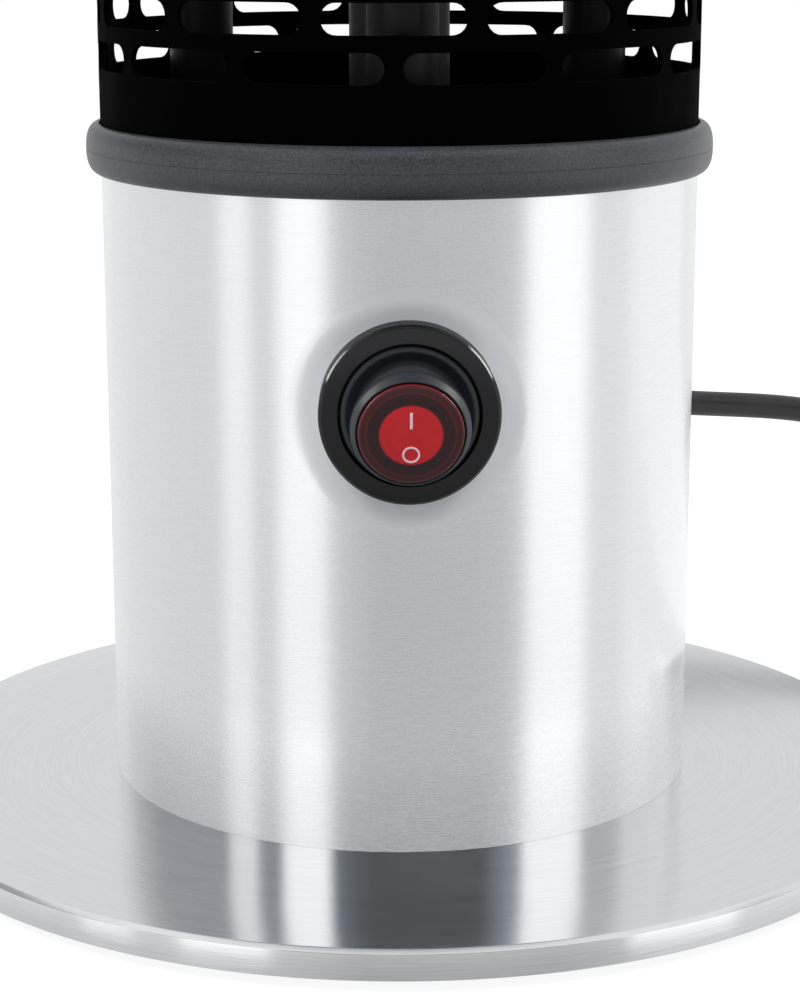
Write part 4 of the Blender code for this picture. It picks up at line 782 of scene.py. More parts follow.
def coilPoints(facts, perTurn):
    step = 2 * facts["radius"] + facts["coilSpacing"]
    low = facts["radius"] + facts["gap"]
    high = low + step
    half = math.tau * facts["turnsPerLayer"]  # the angle where the lower layer ends
    span = math.pi / 2
    x, y = facts["coilCentre"]
    points = []
    for number in range(2 * facts["turnsPerLayer"] * perTurn + 1):
        angle = math.tau * number / perTurn
        radius = facts["coilRadius"] - step * (half - abs(angle - half)) / math.tau
        level = low + (high - low) * easeUp(half - span, half + span, angle)
        level += (facts["plugLevel"] - high) * easeUp(2 * half - span, 2 * half, angle)
        points.append(Vector((x + radius * math.cos(angle), y - radius * math.sin(angle), level)))
    points.append(points[-1] - Vector((0, 2 * facts["radius"], 0)))
    return points


def makeLead(facts):
    floor = facts["radius"] + facts["gap"]
    x = facts["coilCentre"][0] + facts["coilRadius"]
    y = facts["coilCentre"][1] + 2 * facts["radius"]
    ends = (x, y + facts["gap"] + facts["leadIn"], floor), (x, y, floor)
    route = [(0.0, 0.080, facts["glandLevel"]), *facts["route"], *ends]
    points = smoothRoute(route, facts["pointSpacing"]) + coilPoints(facts, facts["pointsPerTurn"])
    curve = bpy.data.curves.new("leadLine", "CURVE")
    curve.dimensions = "3D"
    curve.bevel_depth = facts["radius"]
    curve.bevel_resolution = 7
    curve.use_fill_caps = True
    line = curve.splines.new("NURBS")
    line.points.add(len(points) - 1)
    for spot, point in zip(line.points, points):
        spot.co = (*point, 1.0)
    line.order_u = 4
    line.use_endpoint_u = True
    line.resolution_u = 3
    curve.materials.append(cordRubber)
    return settle(link("leadCord", curve), "heater", "cord_rubber", "cord", "cord_coil"), points


leadCord, leadPoints = makeLead(leadFacts)
print("stage: lead")


# base

baseFacts = {
    "radius": 0.141, "rimWall": 0.0016, "skin": 0.0012, "chamfer": 0.0011, "softness": 0.0004,
    "footRadius": 0.011, "footCircle": 0.108, "boltCircle": 0.062, "boltHole": 0.0030, "shank": 0.0025,
    "headRadius": 0.0046, "headHeight": 0.0024,
}


def makeBase(facts):
    low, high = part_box("base_cover")
    bottom, top = low.z, high.z
    outer, inner = facts["radius"], facts["radius"] - facts["rimWall"]
    under = top - facts["skin"]
    soft = facts["softness"]
    corners = [
        (0.0, under), (0.05, under), (0.10, under), (inner, under, 0.0006), (inner, bottom, 0.0003),
        (outer, bottom, 0.0005), (outer, top - facts["chamfer"], soft), (outer - facts["chamfer"], top, soft),
        (0.12, top), (0.09, top), (0.05, top), (0.0, top),
    ]
    cover = spin("baseDisc", soften(corners), 256, baseSteel)
    tools = []
    for number in range(3):
        angle = math.radians(60 + 120 * number)
        x, y = facts["boltCircle"] * math.sin(angle), -facts["boltCircle"] * math.cos(angle)
        tools.append(rod((x, y, under - 0.002), (x, y, top + 0.002), facts["boltHole"], baseSteel))
    carve(cover, tools)
    settle(cover, "heater", "brushed_base", "base_cover")

    footTop, outer = highOf("foot_1").z, facts["footRadius"]
    foot = soften([
        (0.0, 0.0004), (0.0040, 0.0004, 0.0002), (0.0046, 0.0, 0.0002), (0.0062, 0.0, 0.0002),
        (0.0066, 0.0005, 0.0002), (0.0072, 0.0005, 0.0002), (0.0076, 0.0, 0.0002), (outer, 0.0, 0.0009),
        (outer - 0.0004, footTop * 0.62, 0.0004), (outer - 0.0012, footTop, 0.0004), (0.0, footTop),
    ], steps=3)
    feet = spin("rubberFeet", foot, 48, footRubber)
    runNodes(
        feet, circleNodes, count=4, circle=facts["footCircle"], turn=math.radians(-45), material=footRubber
    )
    settle(feet, "heater", "foot_rubber", "foot_1", "foot_2", "foot_3", "foot_4")

    low, end = lowOf("base_bolt_1").z, highOf("base_bolt_1").z
    seat, wide, thin = low + facts["headHeight"], facts["headRadius"], facts["shank"]
    shank = spinMesh(soften([(0.0, seat), (thin, seat), (thin, end, 0.0005), (0.0, end)], steps=3), 24)
    head = spinMesh([(0.0, low), (wide - 0.0006, low), (wide, low + 0.0005), (wide, seat), (0.0, seat)], 6)
    bolts = meshObject("baseBolts", absorb(head, shank), zincSteel)
    runNodes(
        bolts, circleNodes, count=3, circle=facts["boltCircle"], turn=math.radians(-30), material=zincSteel
    )
    settle(bolts, "heater", "zinc_steel", "base_bolt_1", "base_bolt_2", "base_bolt_3")


makeBase(baseFacts)
print("stage: base")


# housing: a thin tube with a dished seat in front for the switch and a shallow one behind for the gland

housingFacts = {
    "radius": 0.080, "wall": 0.0012,
    "switchSeat": {
        "plane": 0.0756, "pocket": (0.0178, 0.0200), "depth": 0.0007, "flat": 0.0214, "edge": 0.0292,
        "drop": 0.0018, "hole": 0.0155,
        "rings": (0.0172, *(0.0178 + 0.00045 * step for step in range(29)), 0.0318),
        "spokes": 144, "level": 0.1255, "side": 1,
    },
    "glandSeat": {
        "plane": 0.0790, "pocket": (0.0120, 0.0130), "depth": 0.0010, "flat": 0.0134, "edge": 0.0158,
        "drop": 0.0, "hole": 0.0083,
        "rings": (0.0105, 0.0125, 0.0131, 0.0135, 0.0139, 0.0143, 0.0147, 0.0150, 0.0153, 0.0156, 0.0160,
                  0.0166, 0.0180),
        "spokes": 72, "level": 0.074, "side": -1,
    },
    "columns": 150, "rows": 30, "seatReach": 0.05,
}


def seatReach(seat, radius, x, z):  # how far out the wall stands at a point seen from the front
    plain = math.sqrt(max(0.0, radius * radius - x * x))
    away = max(1e-6, math.hypot(x, z - seat["level"]))
    along, up = x / away, (z - seat["level"]) / away
    drop = seat["drop"]  # the dish's edge is a circle a little below the switch's axis
    edge = math.sqrt(seat["edge"] ** 2 - (drop * along) ** 2) - drop * up
    dished = plain - seat["depth"] * (1 - easeUp(seat["flat"], edge, away))
    return seat["plane"] + (dished - seat["plane"]) * easeUp(*seat["pocket"], away)


def wallPoint(facts, along, z):
    radius = facts["radius"]
    angle = along / radius
    x, y = radius * math.sin(angle), -radius * math.cos(angle)
    seat = facts["switchSeat"] if y < 0 else facts["glandSeat"]
    if math.hypot(x, z - seat["level"]) < seat["rings"][-1]:
        y = -seat["side"] * seatReach(seat, radius, x, z)
    return Vector((x, y, z))


def wallNormal(facts, along, z):
    step = 0.00004
    east = wallPoint(facts, along + step, z) - wallPoint(facts, along - step, z)
    up = wallPoint(facts, along, z + step) - wallPoint(facts, along, z - step)
    return east.cross(up).normalized()


def makeHousing(facts):
    radius = facts["radius"]
    bottom, top = highOf("base_cover").z + 0.00002, highOf("housing").z
    start, end = -math.pi / 2 * radius, math.pi * 1.5 * radius
    loops, loose, patches = [], [], []

    def awayFrom(middle, level, s, z):  # how far a point of the unrolled wall is from a seat's axis
        if abs(s - middle) > facts["seatReach"]:
            return math.inf
        return math.hypot(radius * math.sin((s - middle) / radius), z - level)

    for seat in (facts["switchSeat"], facts["glandSeat"]):
        middle = 0.0 if seat["side"] > 0 else math.pi * radius
        rings = []
        for number, reach in enumerate((seat["hole"], *seat["rings"])):
            ring = []
            for step in range(seat["spokes"]):
                turn = math.tau * (step + 0.5 * (number % 2)) / seat["spokes"]
                x = reach * math.cos(turn)
                ring.append((middle + radius * math.asin(x / radius), seat["level"] + reach * math.sin(turn)))
            rings.append(ring)
        loops.append(rings[0])
        loose += [point for ring in rings[1:] for point in ring]
        patches.append((middle, seat["level"], seat["rings"][-1] + 0.0012, seat["hole"] * 0.999))
    count = facts["columns"]
    columns = [start + (end - start) * step / count for step in range(count + 1)]
    rows = [bottom + (top - bottom) * step / facts["rows"] for step in range(facts["rows"] + 1)]
    border = [(s, bottom) for s in columns] + [(end, z) for z in rows[1:-1]]
    border += [(s, top) for s in reversed(columns)] + [(start, z) for z in reversed(rows[1:-1])]
    loops.append(border)
    for s in columns[1:-1]:
        for z in rows[1:-1]:
            if all(awayFrom(middle, level, s, z) > reach for middle, level, reach, _ in patches):
                loose.append((s, z))
    points, edges = [], []
    for loop in loops:
        edges += [(len(points) + i, len(points) + (i + 1) % len(loop)) for i in range(len(loop))]
        points += loop
    points += loose
    flat, _, faces, _, _, _ = delaunay_2d_cdt([Vector(point) for point in points], edges, [], 0, 1e-7)

    def inHole(face):
        s, z = (sum(flat[i][axis] for i in face) / 3 for axis in (0, 1))
        return any(awayFrom(middle, level, s, z) < hole for middle, level, _, hole in patches)

    kept = [list(face) for face in faces if not inHole(face)]
    outside = [wallPoint(facts, point.x, point.y) for point in flat]
    normals = [wallNormal(facts, point.x, point.y) for point in flat]
    inside = [point - normal * facts["wall"] for point, normal in zip(outside, normals)]
    bm = bmesh.new()
    skins = [[bm.verts.new(point) for point in skin] for skin in (outside, inside)]
    sides = set()
    for face in kept:
        bm.faces.new([skins[0][i] for i in face])
        bm.faces.new([skins[1][i] for i in reversed(face)])
        sides |= set(zip(face, face[1:] + face[:1]))
    for a, b in sides:
        seam = abs(flat[a].x - flat[b].x) < 1e-6 and min(abs(flat[a].x - start), abs(flat[a].x - end)) < 1e-6
        if (b, a) not in sides and not seam:
            bm.faces.new([skins[0][b], skins[0][a], skins[1][a], skins[1][b]])
    shell = meshObject("housingShell", bm, housingSteel, 40.0)
    mesh = shell.data  # the smooth wall gets its true normals, and the cut edges keep their own
    corners = [Vector(normal.vector) for normal in mesh.corner_normals]
    for face in mesh.polygons:
        for loop in face.loop_indices:
            place = mesh.vertices[mesh.loops[loop].vertex_index].co
            angle = math.atan2(place.x, -place.y)
            true = wallNormal(facts, radius * angle, place.z)
            if true.dot(face.normal) > 0.9:
                corners[loop] = true
            elif true.dot(face.normal) < -0.9:
                corners[loop] = -true
    mesh.normals_split_custom_set(corners)
    settle(shell, "heater", "brushed_housing", "housing")


makeHousing(housingFacts)
print("stage: housing")


# trim rings

ringFacts = {
    "radius": 0.0839, "bore": 0.0804, "web": 0.0030, "webRadius": 0.0760, "roundness": 0.8, "groove": 0.00008,
}


def makeTrimRing(name, node, facts):
    low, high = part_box(node)
    middle, half = (low.z + high.z) / 2, (high.z - low.z) / 2
    bore, web, groove = facts["bore"], facts["webRadius"], facts["groove"]
    outline = []
    steps = 40
    for step, angle in enumerate(turns(steps, -math.pi / 2, math.pi / 2)):
        out = abs(math.cos(angle)) ** facts["roundness"]
        up = math.copysign(abs(math.sin(angle)) ** facts["roundness"], angle)
        reach = bore + (facts["radius"] - bore) * out
        if step == steps // 2:  # a fine parting line half way up
            inwards = (0, groove, groove, 0), (-groove, -groove / 4, groove / 4, groove)
            outline += [(reach - sunk, middle + lift) for sunk, lift in zip(*inwards)]
        elif abs(half * up) > 2 * groove:
            outline.append((reach, middle + half * up))
    webLow, webHigh = middle - facts["web"] / 2, middle + facts["web"] / 2
    outline += soften([
        (bore, high.z - 0.0002), (bore, webHigh, 0.0004), (web, webHigh, 0.0002),
        (web, webLow, 0.0002), (bore, webLow, 0.0004), (bore, low.z + 0.0002),
    ], steps=3)
    ring = spin(name, outline, 256, trimGrey, closed=True, smoothAngle=50.0)
    settle(ring, "heater", "trim_grey", node)


makeTrimRing("lowerRing", "lower_trim_ring", ringFacts)
makeTrimRing("upperRing", "upper_trim_ring", ringFacts)
print("stage: trim rings")


# cage, posts and heating tube

cageFacts = {
    "rows": 17, "slotHeight": 0.0076, "slotLength": 0.0358, "bridge": 0.0044, "land": 0.0040,
    "plainBand": 0.0142, "sheet": 0.0014, "radius": 0.080, "turn": -4.0, "offset": 0.0020, "gap": 0.0003,
    "stripWidth": 0.0060, "stripSheet": 0.0004, "stripGap": 0.00005,
}


def makeCageHalf(name, node, middleAngle, shift, facts):
    low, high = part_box(node)
    pitch = facts["slotLength"] + facts["bridge"]
    end = 3 * pitch - facts["bridge"] / 2
    shortStart = 2.5 * pitch + facts["bridge"] / 2
    seedMesh = bpy.data.meshes.new(name)
    seedMesh.materials.append(cageBlack)
    half = link(name, seedMesh)
    runNodes(
        half, slotNodes,
        rows=facts["rows"], halfLength=math.pi / 2 * facts["radius"] - facts["gap"] / 2,
        bottom=low.z, top=high.z, firstSlot=highOf("lower_trim_ring").z + facts["plainBand"],
        rowPitch=facts["slotHeight"] + facts["land"], slotPitch=pitch, slotLength=facts["slotLength"],
        slotHeight=facts["slotHeight"], shortLength=end - shortStart, shortPlace=(shortStart + end) / 2,
        shift=shift, radius=facts["radius"], sheet=facts["sheet"],
        middleAngle=middleAngle, material=cageBlack,
    )
    half.data.materials.append(cageEdge)  # the stamped edges get a lighter colour than the faces: a painted sheen along them
    for face in half.data.polygons:
        out = Vector((face.center.x, face.center.y, 0.0)).normalized()
        if abs(face.normal.dot(out)) < 0.6:
            face.material_index = 1
    settle(half, "heater", "cage_black", node)


def makeSeamStrip(name, node, angle, facts):  # a thin strip behind the joint of the two halves
    low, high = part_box(node)
    outer = facts["radius"] - facts["sheet"] - facts["stripGap"]
    inner = outer - facts["stripSheet"]
    section = ((outer, low.z), (outer, high.z), (inner, high.z), (inner, low.z))
    strip = bentBar(section, angle - math.pi / 2, facts["stripWidth"] / 2 / outer, 8)
    settle(meshObject(name, strip, cageBlack), "heater", "cage_black", node)


cageTurn = math.radians(cageFacts["turn"])
makeCageHalf("cageFront", "grille_front", cageTurn, cageFacts["offset"], cageFacts)
makeCageHalf("cageRear", "grille_rear", cageTurn + math.pi, -cageFacts["offset"], cageFacts)
makeSeamStrip("seamStripLeft", "grille_seam_left", cageTurn - math.pi / 2, cageFacts)
makeSeamStrip("seamStripRight", "grille_seam_right", cageTurn + math.pi / 2, cageFacts)

postFacts = {"radius": 0.0088, "wall": 0.0015, "circle": 0.0634, "turn": -0.9}


def makePosts(facts):
    low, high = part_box("post_1")
    outer, inner = facts["radius"], facts["radius"] - facts["wall"]
    outline = [(inner, low.z), (outer, low.z, 0.0004), (outer, high.z, 0.0004), (inner, high.z)]
    posts = spin("cagePosts", soften(outline, closed=True, steps=3), 64, postBlack, closed=True)
    turn = math.radians(facts["turn"] - 90)
    runNodes(posts, circleNodes, count=3, circle=facts["circle"], turn=turn, material=postBlack)
    settle(posts, "heater", "cage_black", "post_1", "post_2", "post_3")


makePosts(postFacts)

tubeFacts = {"radius": 0.01345, "wall": 0.00145}


def makeHeatingTube(facts):
    low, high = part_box("heating_tube")
    outer, inner = facts["radius"], facts["radius"] - facts["wall"]
    outline = [
        (inner, low.z, 0.0004), (outer, low.z, 0.0005), (outer, high.z, 0.0005), (inner, high.z, 0.0004),
    ]
    tube = spin("heatingTube", soften(outline, closed=True, steps=4), 96, elementBlack, closed=True)
    settle(tube, "heater", "element_black", "heating_tube")


makeHeatingTube(tubeFacts)
print("stage: cage")


# lid and its cap nut

lidFacts = {
    "radius": 0.080, "edge": 0.0065, "crown": 0.0042, "wall": 0.0012, "hole": 0.0034, "hem": 0.0004,
    "nutRadius": 0.0062, "nutHeight": 0.0042, "capRadius": 0.0049, "capStart": 0.0040,
}


def lidSkin(facts, inset):
    low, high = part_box("top_lid")
    shoulder = high.z - facts["crown"] - inset
    radius, corner = facts["radius"] - inset, facts["edge"] - inset
    points = [(radius, low.z + facts["hem"] * (0 if inset else 1))]
    for angle in turns(14, 0.0, math.pi / 2):
        points.append(
            (radius - corner + corner * math.cos(angle), shoulder - corner + corner * math.sin(angle))
        )
    flat = radius - corner
    for step in range(1, 25):
        reach = flat + (facts["hole"] - flat) * step / 24
        points.append((reach, shoulder + facts["crown"] * (1 - (reach / flat) ** 2)))
    return points


def makeLid(facts):
    low = lowOf("top_lid")
    outside, inside = lidSkin(facts, 0.0), lidSkin(facts, facts["wall"])
    hem = [
        (facts["radius"] - facts["wall"] + facts["hem"] / 2, low.z), (facts["radius"] - facts["hem"], low.z),
    ]
    lid = spin("domeLid", outside + inside[::-1] + hem, 256, lidSteel, closed=True, smoothAngle=45.0)
    settle(lid, "heater", "brushed_housing", "top_lid")

    seat, peak = lowOf("lid_nut").z, highOf("lid_nut").z
    top, start, wide = seat + facts["nutHeight"], seat + facts["capStart"], facts["nutRadius"]
    cavity = highOf("lid_stud").z + 0.0003
    skirt = soften([
        (facts["hole"], cavity), (facts["hole"], seat, 0.0003), (wide - 0.0004, seat, 0.0002),
        (wide, seat + 0.0004, 0.0002), (wide, top - 0.0006, 0.0002), (wide - 0.0006, top, 0.0003),
        (wide - 0.0014, top),
    ], steps=2)
    nut = spinMesh([(0.0, cavity), *skirt, (0.0, top)], 6)
    around = turns(12, 0.0, math.pi / 2)[:-1]
    dome = [(facts["capRadius"] * math.cos(a), start + (peak - start) * math.sin(a)) for a in around]
    cap = spinMesh([(0.0, start), *dome, (0.0, peak)], 64)
    settle(meshObject("capNut", absorb(nut, cap), brightNut), "heater", "bright_nut", "lid_nut")


makeLid(lidFacts)
print("stage: lid")


# switch: distances run out along its axis from the rocker's pivot

bezelFacts = {
    "radius": 0.0222, "waist": 0.0220, "bore": 0.0174, "face": 0.0052, "fall": 0.0004, "bevel": 0.0007,
    "seat": -0.0066, "dullReach": 0.0218, "dullDepth": 0.0841,
}
fixedPlace = switchPlace()


def makeBezel(facts):
    front, edge = facts["face"], facts["face"] - facts["fall"]
    outline = soften([
        (facts["bore"], facts["seat"]), (facts["waist"], facts["seat"], 0.0003),
        (facts["radius"], edge - facts["bevel"], 0.0004), (facts["radius"] - facts["bevel"], edge, 0.0004),
        (facts["bore"], front, 0.0003),
    ], closed=True, steps=6)
    bezel = spin("switchBezelRing", outline, 192, bezelGloss, closed=True, place=fixedPlace)
    seat = housingFacts["switchSeat"]
    for vertex in bezel.data.vertices:  # its back follows the dished wall
        wall = seatReach(seat, housingFacts["radius"], vertex.co.x, vertex.co.z)
        vertex.co.y = min(vertex.co.y, -wall)
    bezel.data.materials.append(bezelSide)
    for face in bezel.data.polygons:  # the rim is duller than the polished front
        reach = math.hypot(face.center.x, face.center.z - switchFacts["level"])
        face.material_index = int(reach > facts["dullReach"] and face.center.y > -facts["dullDepth"])
    settle(bezel, "heater", "bezel_black", "switch_bezel")


makeBezel(bezelFacts)

bodyFacts = {
    "cup": 0.0172, "cupWall": 0.0010, "cupFront": 0.0022, "pocketFloor": -0.0042, "cavity": 0.0122,
    "cavityFloor": -0.0124, "barrel": 0.0152, "seat": -0.0061, "pin": 0.0015, "pocketTurn": 24.0,
}


def pocketTool(facts, middle):  # a bent block that clears room for the rocker's skirt above or below the pin
    inner, outer = facts["cavity"] - 0.0005, facts["cup"] - facts["cupWall"]
    low, high = facts["pocketFloor"], facts["cupFront"] + 0.002
    section = ((inner, low), (outer, low), (outer, high), (inner, high))
    bm = bentBar(section, middle, math.radians(90 - facts["pocketTurn"]), 32)
    bmesh.ops.transform(bm, matrix=fixedPlace, verts=bm.verts[:])
    return meshObject("pocket", bm, switchBlack)


def pinHole(reach, material):  # the rocker's pin runs through the body and the rocker
    level, depth = switchFacts["level"], -switchFacts["pivotDepth"]
    return rod((-reach, depth, level), (reach, depth, level), bodyFacts["pin"], material)


def makeSwitchBody(facts):
    back = -highOf("switch_body").y - switchFacts["pivotDepth"]
    cup, barrel, cavity = facts["cup"], facts["barrel"], facts["cavity"]
    outline = soften([
        (0.0, back), (barrel, back, 0.0006), (barrel, facts["seat"]), (cup, facts["seat"], 0.0002),
        (cup, facts["cupFront"], 0.0003), (cavity, facts["cupFront"], 0.0004),
        (cavity, facts["cavityFloor"], 0.0006), (0.0, facts["cavityFloor"]),
    ])
    body = spin("switchCup", outline, 96, switchBlack, place=fixedPlace)
    pockets = [pocketTool(facts, middle) for middle in (math.pi / 2, -math.pi / 2)]
    carve(body, [*pockets, pinHole(cup + 0.001, switchBlack)])
    settle(body, "heater", "switch_black", "switch_body")


makeSwitchBody(bodyFacts)

bootFacts = {
    "outer": 0.0172, "back": 0.0024, "shoulder": 0.0036, "crest": 0.0047, "crestRadius": 0.0160,
    "grooveRadius": 0.0128, "groove": 0.0031, "foot": 0.0046, "footRadius": 0.0100, "skin": 0.0008,
}


def makeBoot(facts):  # a broad soft roll, a hollow, and a foot that the ball under the rocker turns inside
    crest, middle, low = facts["crest"], facts["crestRadius"], facts["groove"]
    outer, hollow, foot = facts["outer"], facts["grooveRadius"], facts["footRadius"]
    outline = soften([
        (foot, facts["foot"] - facts["skin"]), (hollow, facts["back"], 0.0010),
        (outer, facts["back"], 0.0002), (outer, facts["shoulder"], 0.0004),
        (middle + 0.0007, crest, 0.0010), (middle - 0.0006, crest, 0.0012),
        (hollow + 0.0006, low, 0.0012), (hollow - 0.0008, low, 0.0012), (foot, facts["foot"], 0.0003),
    ], closed=True, steps=8)
    boot = spin("rubberBoot", outline, 160, bootRubber, closed=True, place=fixedPlace)
    settle(boot, "heater", "boot_rubber", "switch_boot")


makeBoot(bootFacts)

rockerFacts = {
    "neck": 0.0080, "neckBack": -0.0070, "neckFront": 0.0014, "ball": 0.0104, "collar": 0.0146,
    "collarBack": 0.0082, "collarFront": 0.0112, "mouth": 0.01345, "mouthFront": 0.0130, "lensHole": 0.01315,
    "lensSeat": 0.0097,
}


def makeRocker(facts):
    ball, neck, collar, hole = facts["ball"], facts["neck"], facts["collar"], facts["lensHole"]
    back, mouth, seat = facts["collarBack"], facts["mouthFront"], facts["lensSeat"]
    low, high = math.acos(facts["neckFront"] / ball), math.acos(back * 0.96 / ball)
    outline = [(0.0, facts["neckBack"]), (neck, facts["neckBack"]), (neck, facts["neckFront"])]
    outline += [(ball * math.sin(turn), ball * math.cos(turn)) for turn in turns(14, low, high)]
    outline += soften([
        (ball * math.sin(high), back), (collar - 0.0004, back, 0.0005), (collar, back + 0.0008, 0.0006),
        (collar, facts["collarFront"], 0.0008), (facts["mouth"], mouth, 0.0004), (hole, mouth, 0.0001),
        (hole, seat), (0.0, seat),
    ], steps=6)
    rocker = spin("rockerCap", outline, 160, bootRubber, place=rockerPlace, smoothAngle=40.0)
    carve(rocker, [pinHole(neck + 0.004, bootRubber)])
    settle(rocker, "rocker", "boot_rubber", "rocker")


makeRocker(rockerFacts)

lensFacts = {"radius": 0.01285, "base": 0.0100, "edge": 0.0134, "crown": 0.0142, "round": 0.0009}


def lensLevel(facts, reach):
    share = min(1.0, reach / facts["radius"])
    return facts["crown"] - (facts["crown"] - facts["edge"]) * 0.75 * share ** 3


def makeLens(facts):
    radius = facts["radius"]
    top = [(radius * step / 24, lensLevel(facts, radius * step / 24)) for step in range(22, -1, -1)]
    edge = soften([
        (radius, facts["base"]), (radius, lensLevel(facts, radius), facts["round"]), top[0],
    ], steps=8)[:-1]
    lens = spin(
        "lensCap", [(0.0, facts["base"]), *edge, *top], 160, lensRed, place=rockerPlace, smoothAngle=60.0
    )
    settle(lens, "rocker", "lens_red", "rocker_lens")


makeLens(lensFacts)

markFacts = {
    "thickness": 0.00006, "sink": 0.00004, "barWidth": 0.00066, "barHeight": 0.0042, "barPlace": 0.0038,
    "ringRadius": 0.0019, "ringWidth": 0.00050, "ringPlace": -0.0050,
}


def makeMarks(facts):  # printed I and O, as thin raised ink that follows the lens
    def skinned(bm, faces):
        top = bmesh.ops.extrude_face_region(bm, geom=faces)["geom"]
        raised = {vert for vert in top if isinstance(vert, bmesh.types.BMVert)}
        for vert in bm.verts:
            level = lensLevel(lensFacts, math.hypot(vert.co.x, vert.co.y))
            vert.co.z = level + (facts["thickness"] if vert in raised else -facts["sink"])
        bmesh.ops.transform(bm, matrix=rockerPlace, verts=bm.verts[:])

    bm = bmesh.new()
    halfWidth, halfHeight = facts["barWidth"] / 2, facts["barHeight"] / 2
    rows = []
    for step in range(13):
        y = facts["barPlace"] - halfHeight + 2 * halfHeight * step / 12
        rows.append([bm.verts.new((x, y, 0)) for x in (-halfWidth, halfWidth)])
    skinned(bm, [bm.faces.new([*low, *reversed(high)]) for low, high in zip(rows, rows[1:])])
    settle(meshObject("markOn", bm, markWhite), "rocker", "lens_red")

    bm = bmesh.new()
    loops = []
    for reach in (facts["ringRadius"] - facts["ringWidth"] / 2, facts["ringRadius"] + facts["ringWidth"] / 2):
        around = [(reach * math.cos(a), facts["ringPlace"] + reach * math.sin(a), 0) for a in turns(64)[:-1]]
        loops.append([bm.verts.new(spot) for spot in around])
    inner, outer = loops
    pairs = [(i, (i + 1) % 64) for i in range(64)]
    skinned(bm, [bm.faces.new([inner[i], outer[i], outer[j], inner[j]]) for i, j in pairs])
    settle(meshObject("markOff", bm, markWhite), "rocker", "lens_red")


makeMarks(markFacts)
print("stage: switch")


# gland and strain relief at the back

glandFacts = {
    "bore": 0.0049, "thread": 0.0080, "flange": 0.0122, "flangeHeight": 0.0046, "neck": 0.0098,
    "neckHeight": 0.0090, "mouth": 0.0074, "length": 0.0150, "inside": 0.0130, "seat": 0.0793,
    "reliefLength": 0.040, "reliefRoot": 0.0076, "reliefTip": 0.0058, "ribs": 9, "ribSwell": 0.045,
    "gap": 0.0003,
}


def makeRelief(name, cone, swell, material, place, **ribs):  # a tapered sleeve with round ribs
    rib = [(1 + swell * math.cos(a), 0.0011 * math.sin(a)) for a in turns(12)[:-1]]
    relief = spin(name, rib, 48, material, closed=True)
    runNodes(relief, ribNodes, material=material, **ribs)
    bm = bmesh.new()
    bm.from_mesh(relief.data)
    absorb(bm, cone)
    bmesh.ops.transform(bm, matrix=place, verts=bm.verts[:])
    store(bm, relief.data, 45.0, weld=False)
    return relief


def makeGland(facts):  # local +Z points backwards out of the housing
    backwards = Matrix.Translation((0, 0, leadFacts["glandLevel"])) @ Matrix.Rotation(-math.pi / 2, 4, "X")
    bore, thread, flange, neck, seat = (facts[key] for key in ("bore", "thread", "flange", "neck", "seat"))
    step, end = seat + facts["flangeHeight"], seat + facts["length"]
    outline = soften([
        (bore, seat - facts["inside"]), (thread, seat - facts["inside"], 0.0004), (thread, seat),
        (flange, seat, 0.0003), (flange, step, 0.0012), (neck + 0.0004, step, 0.0003),
        (neck, seat + facts["neckHeight"], 0.0012), (facts["mouth"], end, 0.0008), (bore, end),
    ], closed=True, steps=4)
    gland = spin("glandShell", outline, 96, switchBlack, closed=True, place=backwards)
    settle(gland, "heater", "switch_black", "gland_body")

    root, wide, thin = end + facts["gap"], facts["reliefRoot"], facts["reliefTip"] - 0.0003
    tip = root + facts["reliefLength"]
    cone = soften([
        (bore, root), (wide, root, 0.0005), (wide - 0.0009, root + 0.006, 0.002),
        (thin, tip, 0.0005), (bore, tip),
    ], closed=True, steps=4)
    relief = makeRelief(
        "strainRelief", spinMesh(cone, 64, True), facts["ribSwell"], cordRubber, backwards,
        count=facts["ribs"], start=root + 0.006,
        spacing=(facts["reliefLength"] - 0.010) / (facts["ribs"] - 1),
        firstRadius=wide - 0.0008, lastRadius=thin,
    )
    settle(relief, "heater", "cord_rubber", "strain_relief")


makeGland(glandFacts)
print("stage: gland")


# plug

plugFacts = {
    "relief": 0.032, "tip": 0.0060, "root": 0.0092, "body": 0.042, "back": 0.0104, "front": 0.0184,
    "rim": 0.012, "bevel": 0.0012, "notch": (0.006, 0.0052, 0.016), "notchDepth": 0.006, "pin": 0.0024,
    "pinLength": 0.019, "pinSpread": 0.019, "ribs": 7, "ribSwell": 0.04, "gap": 0.0003,
}


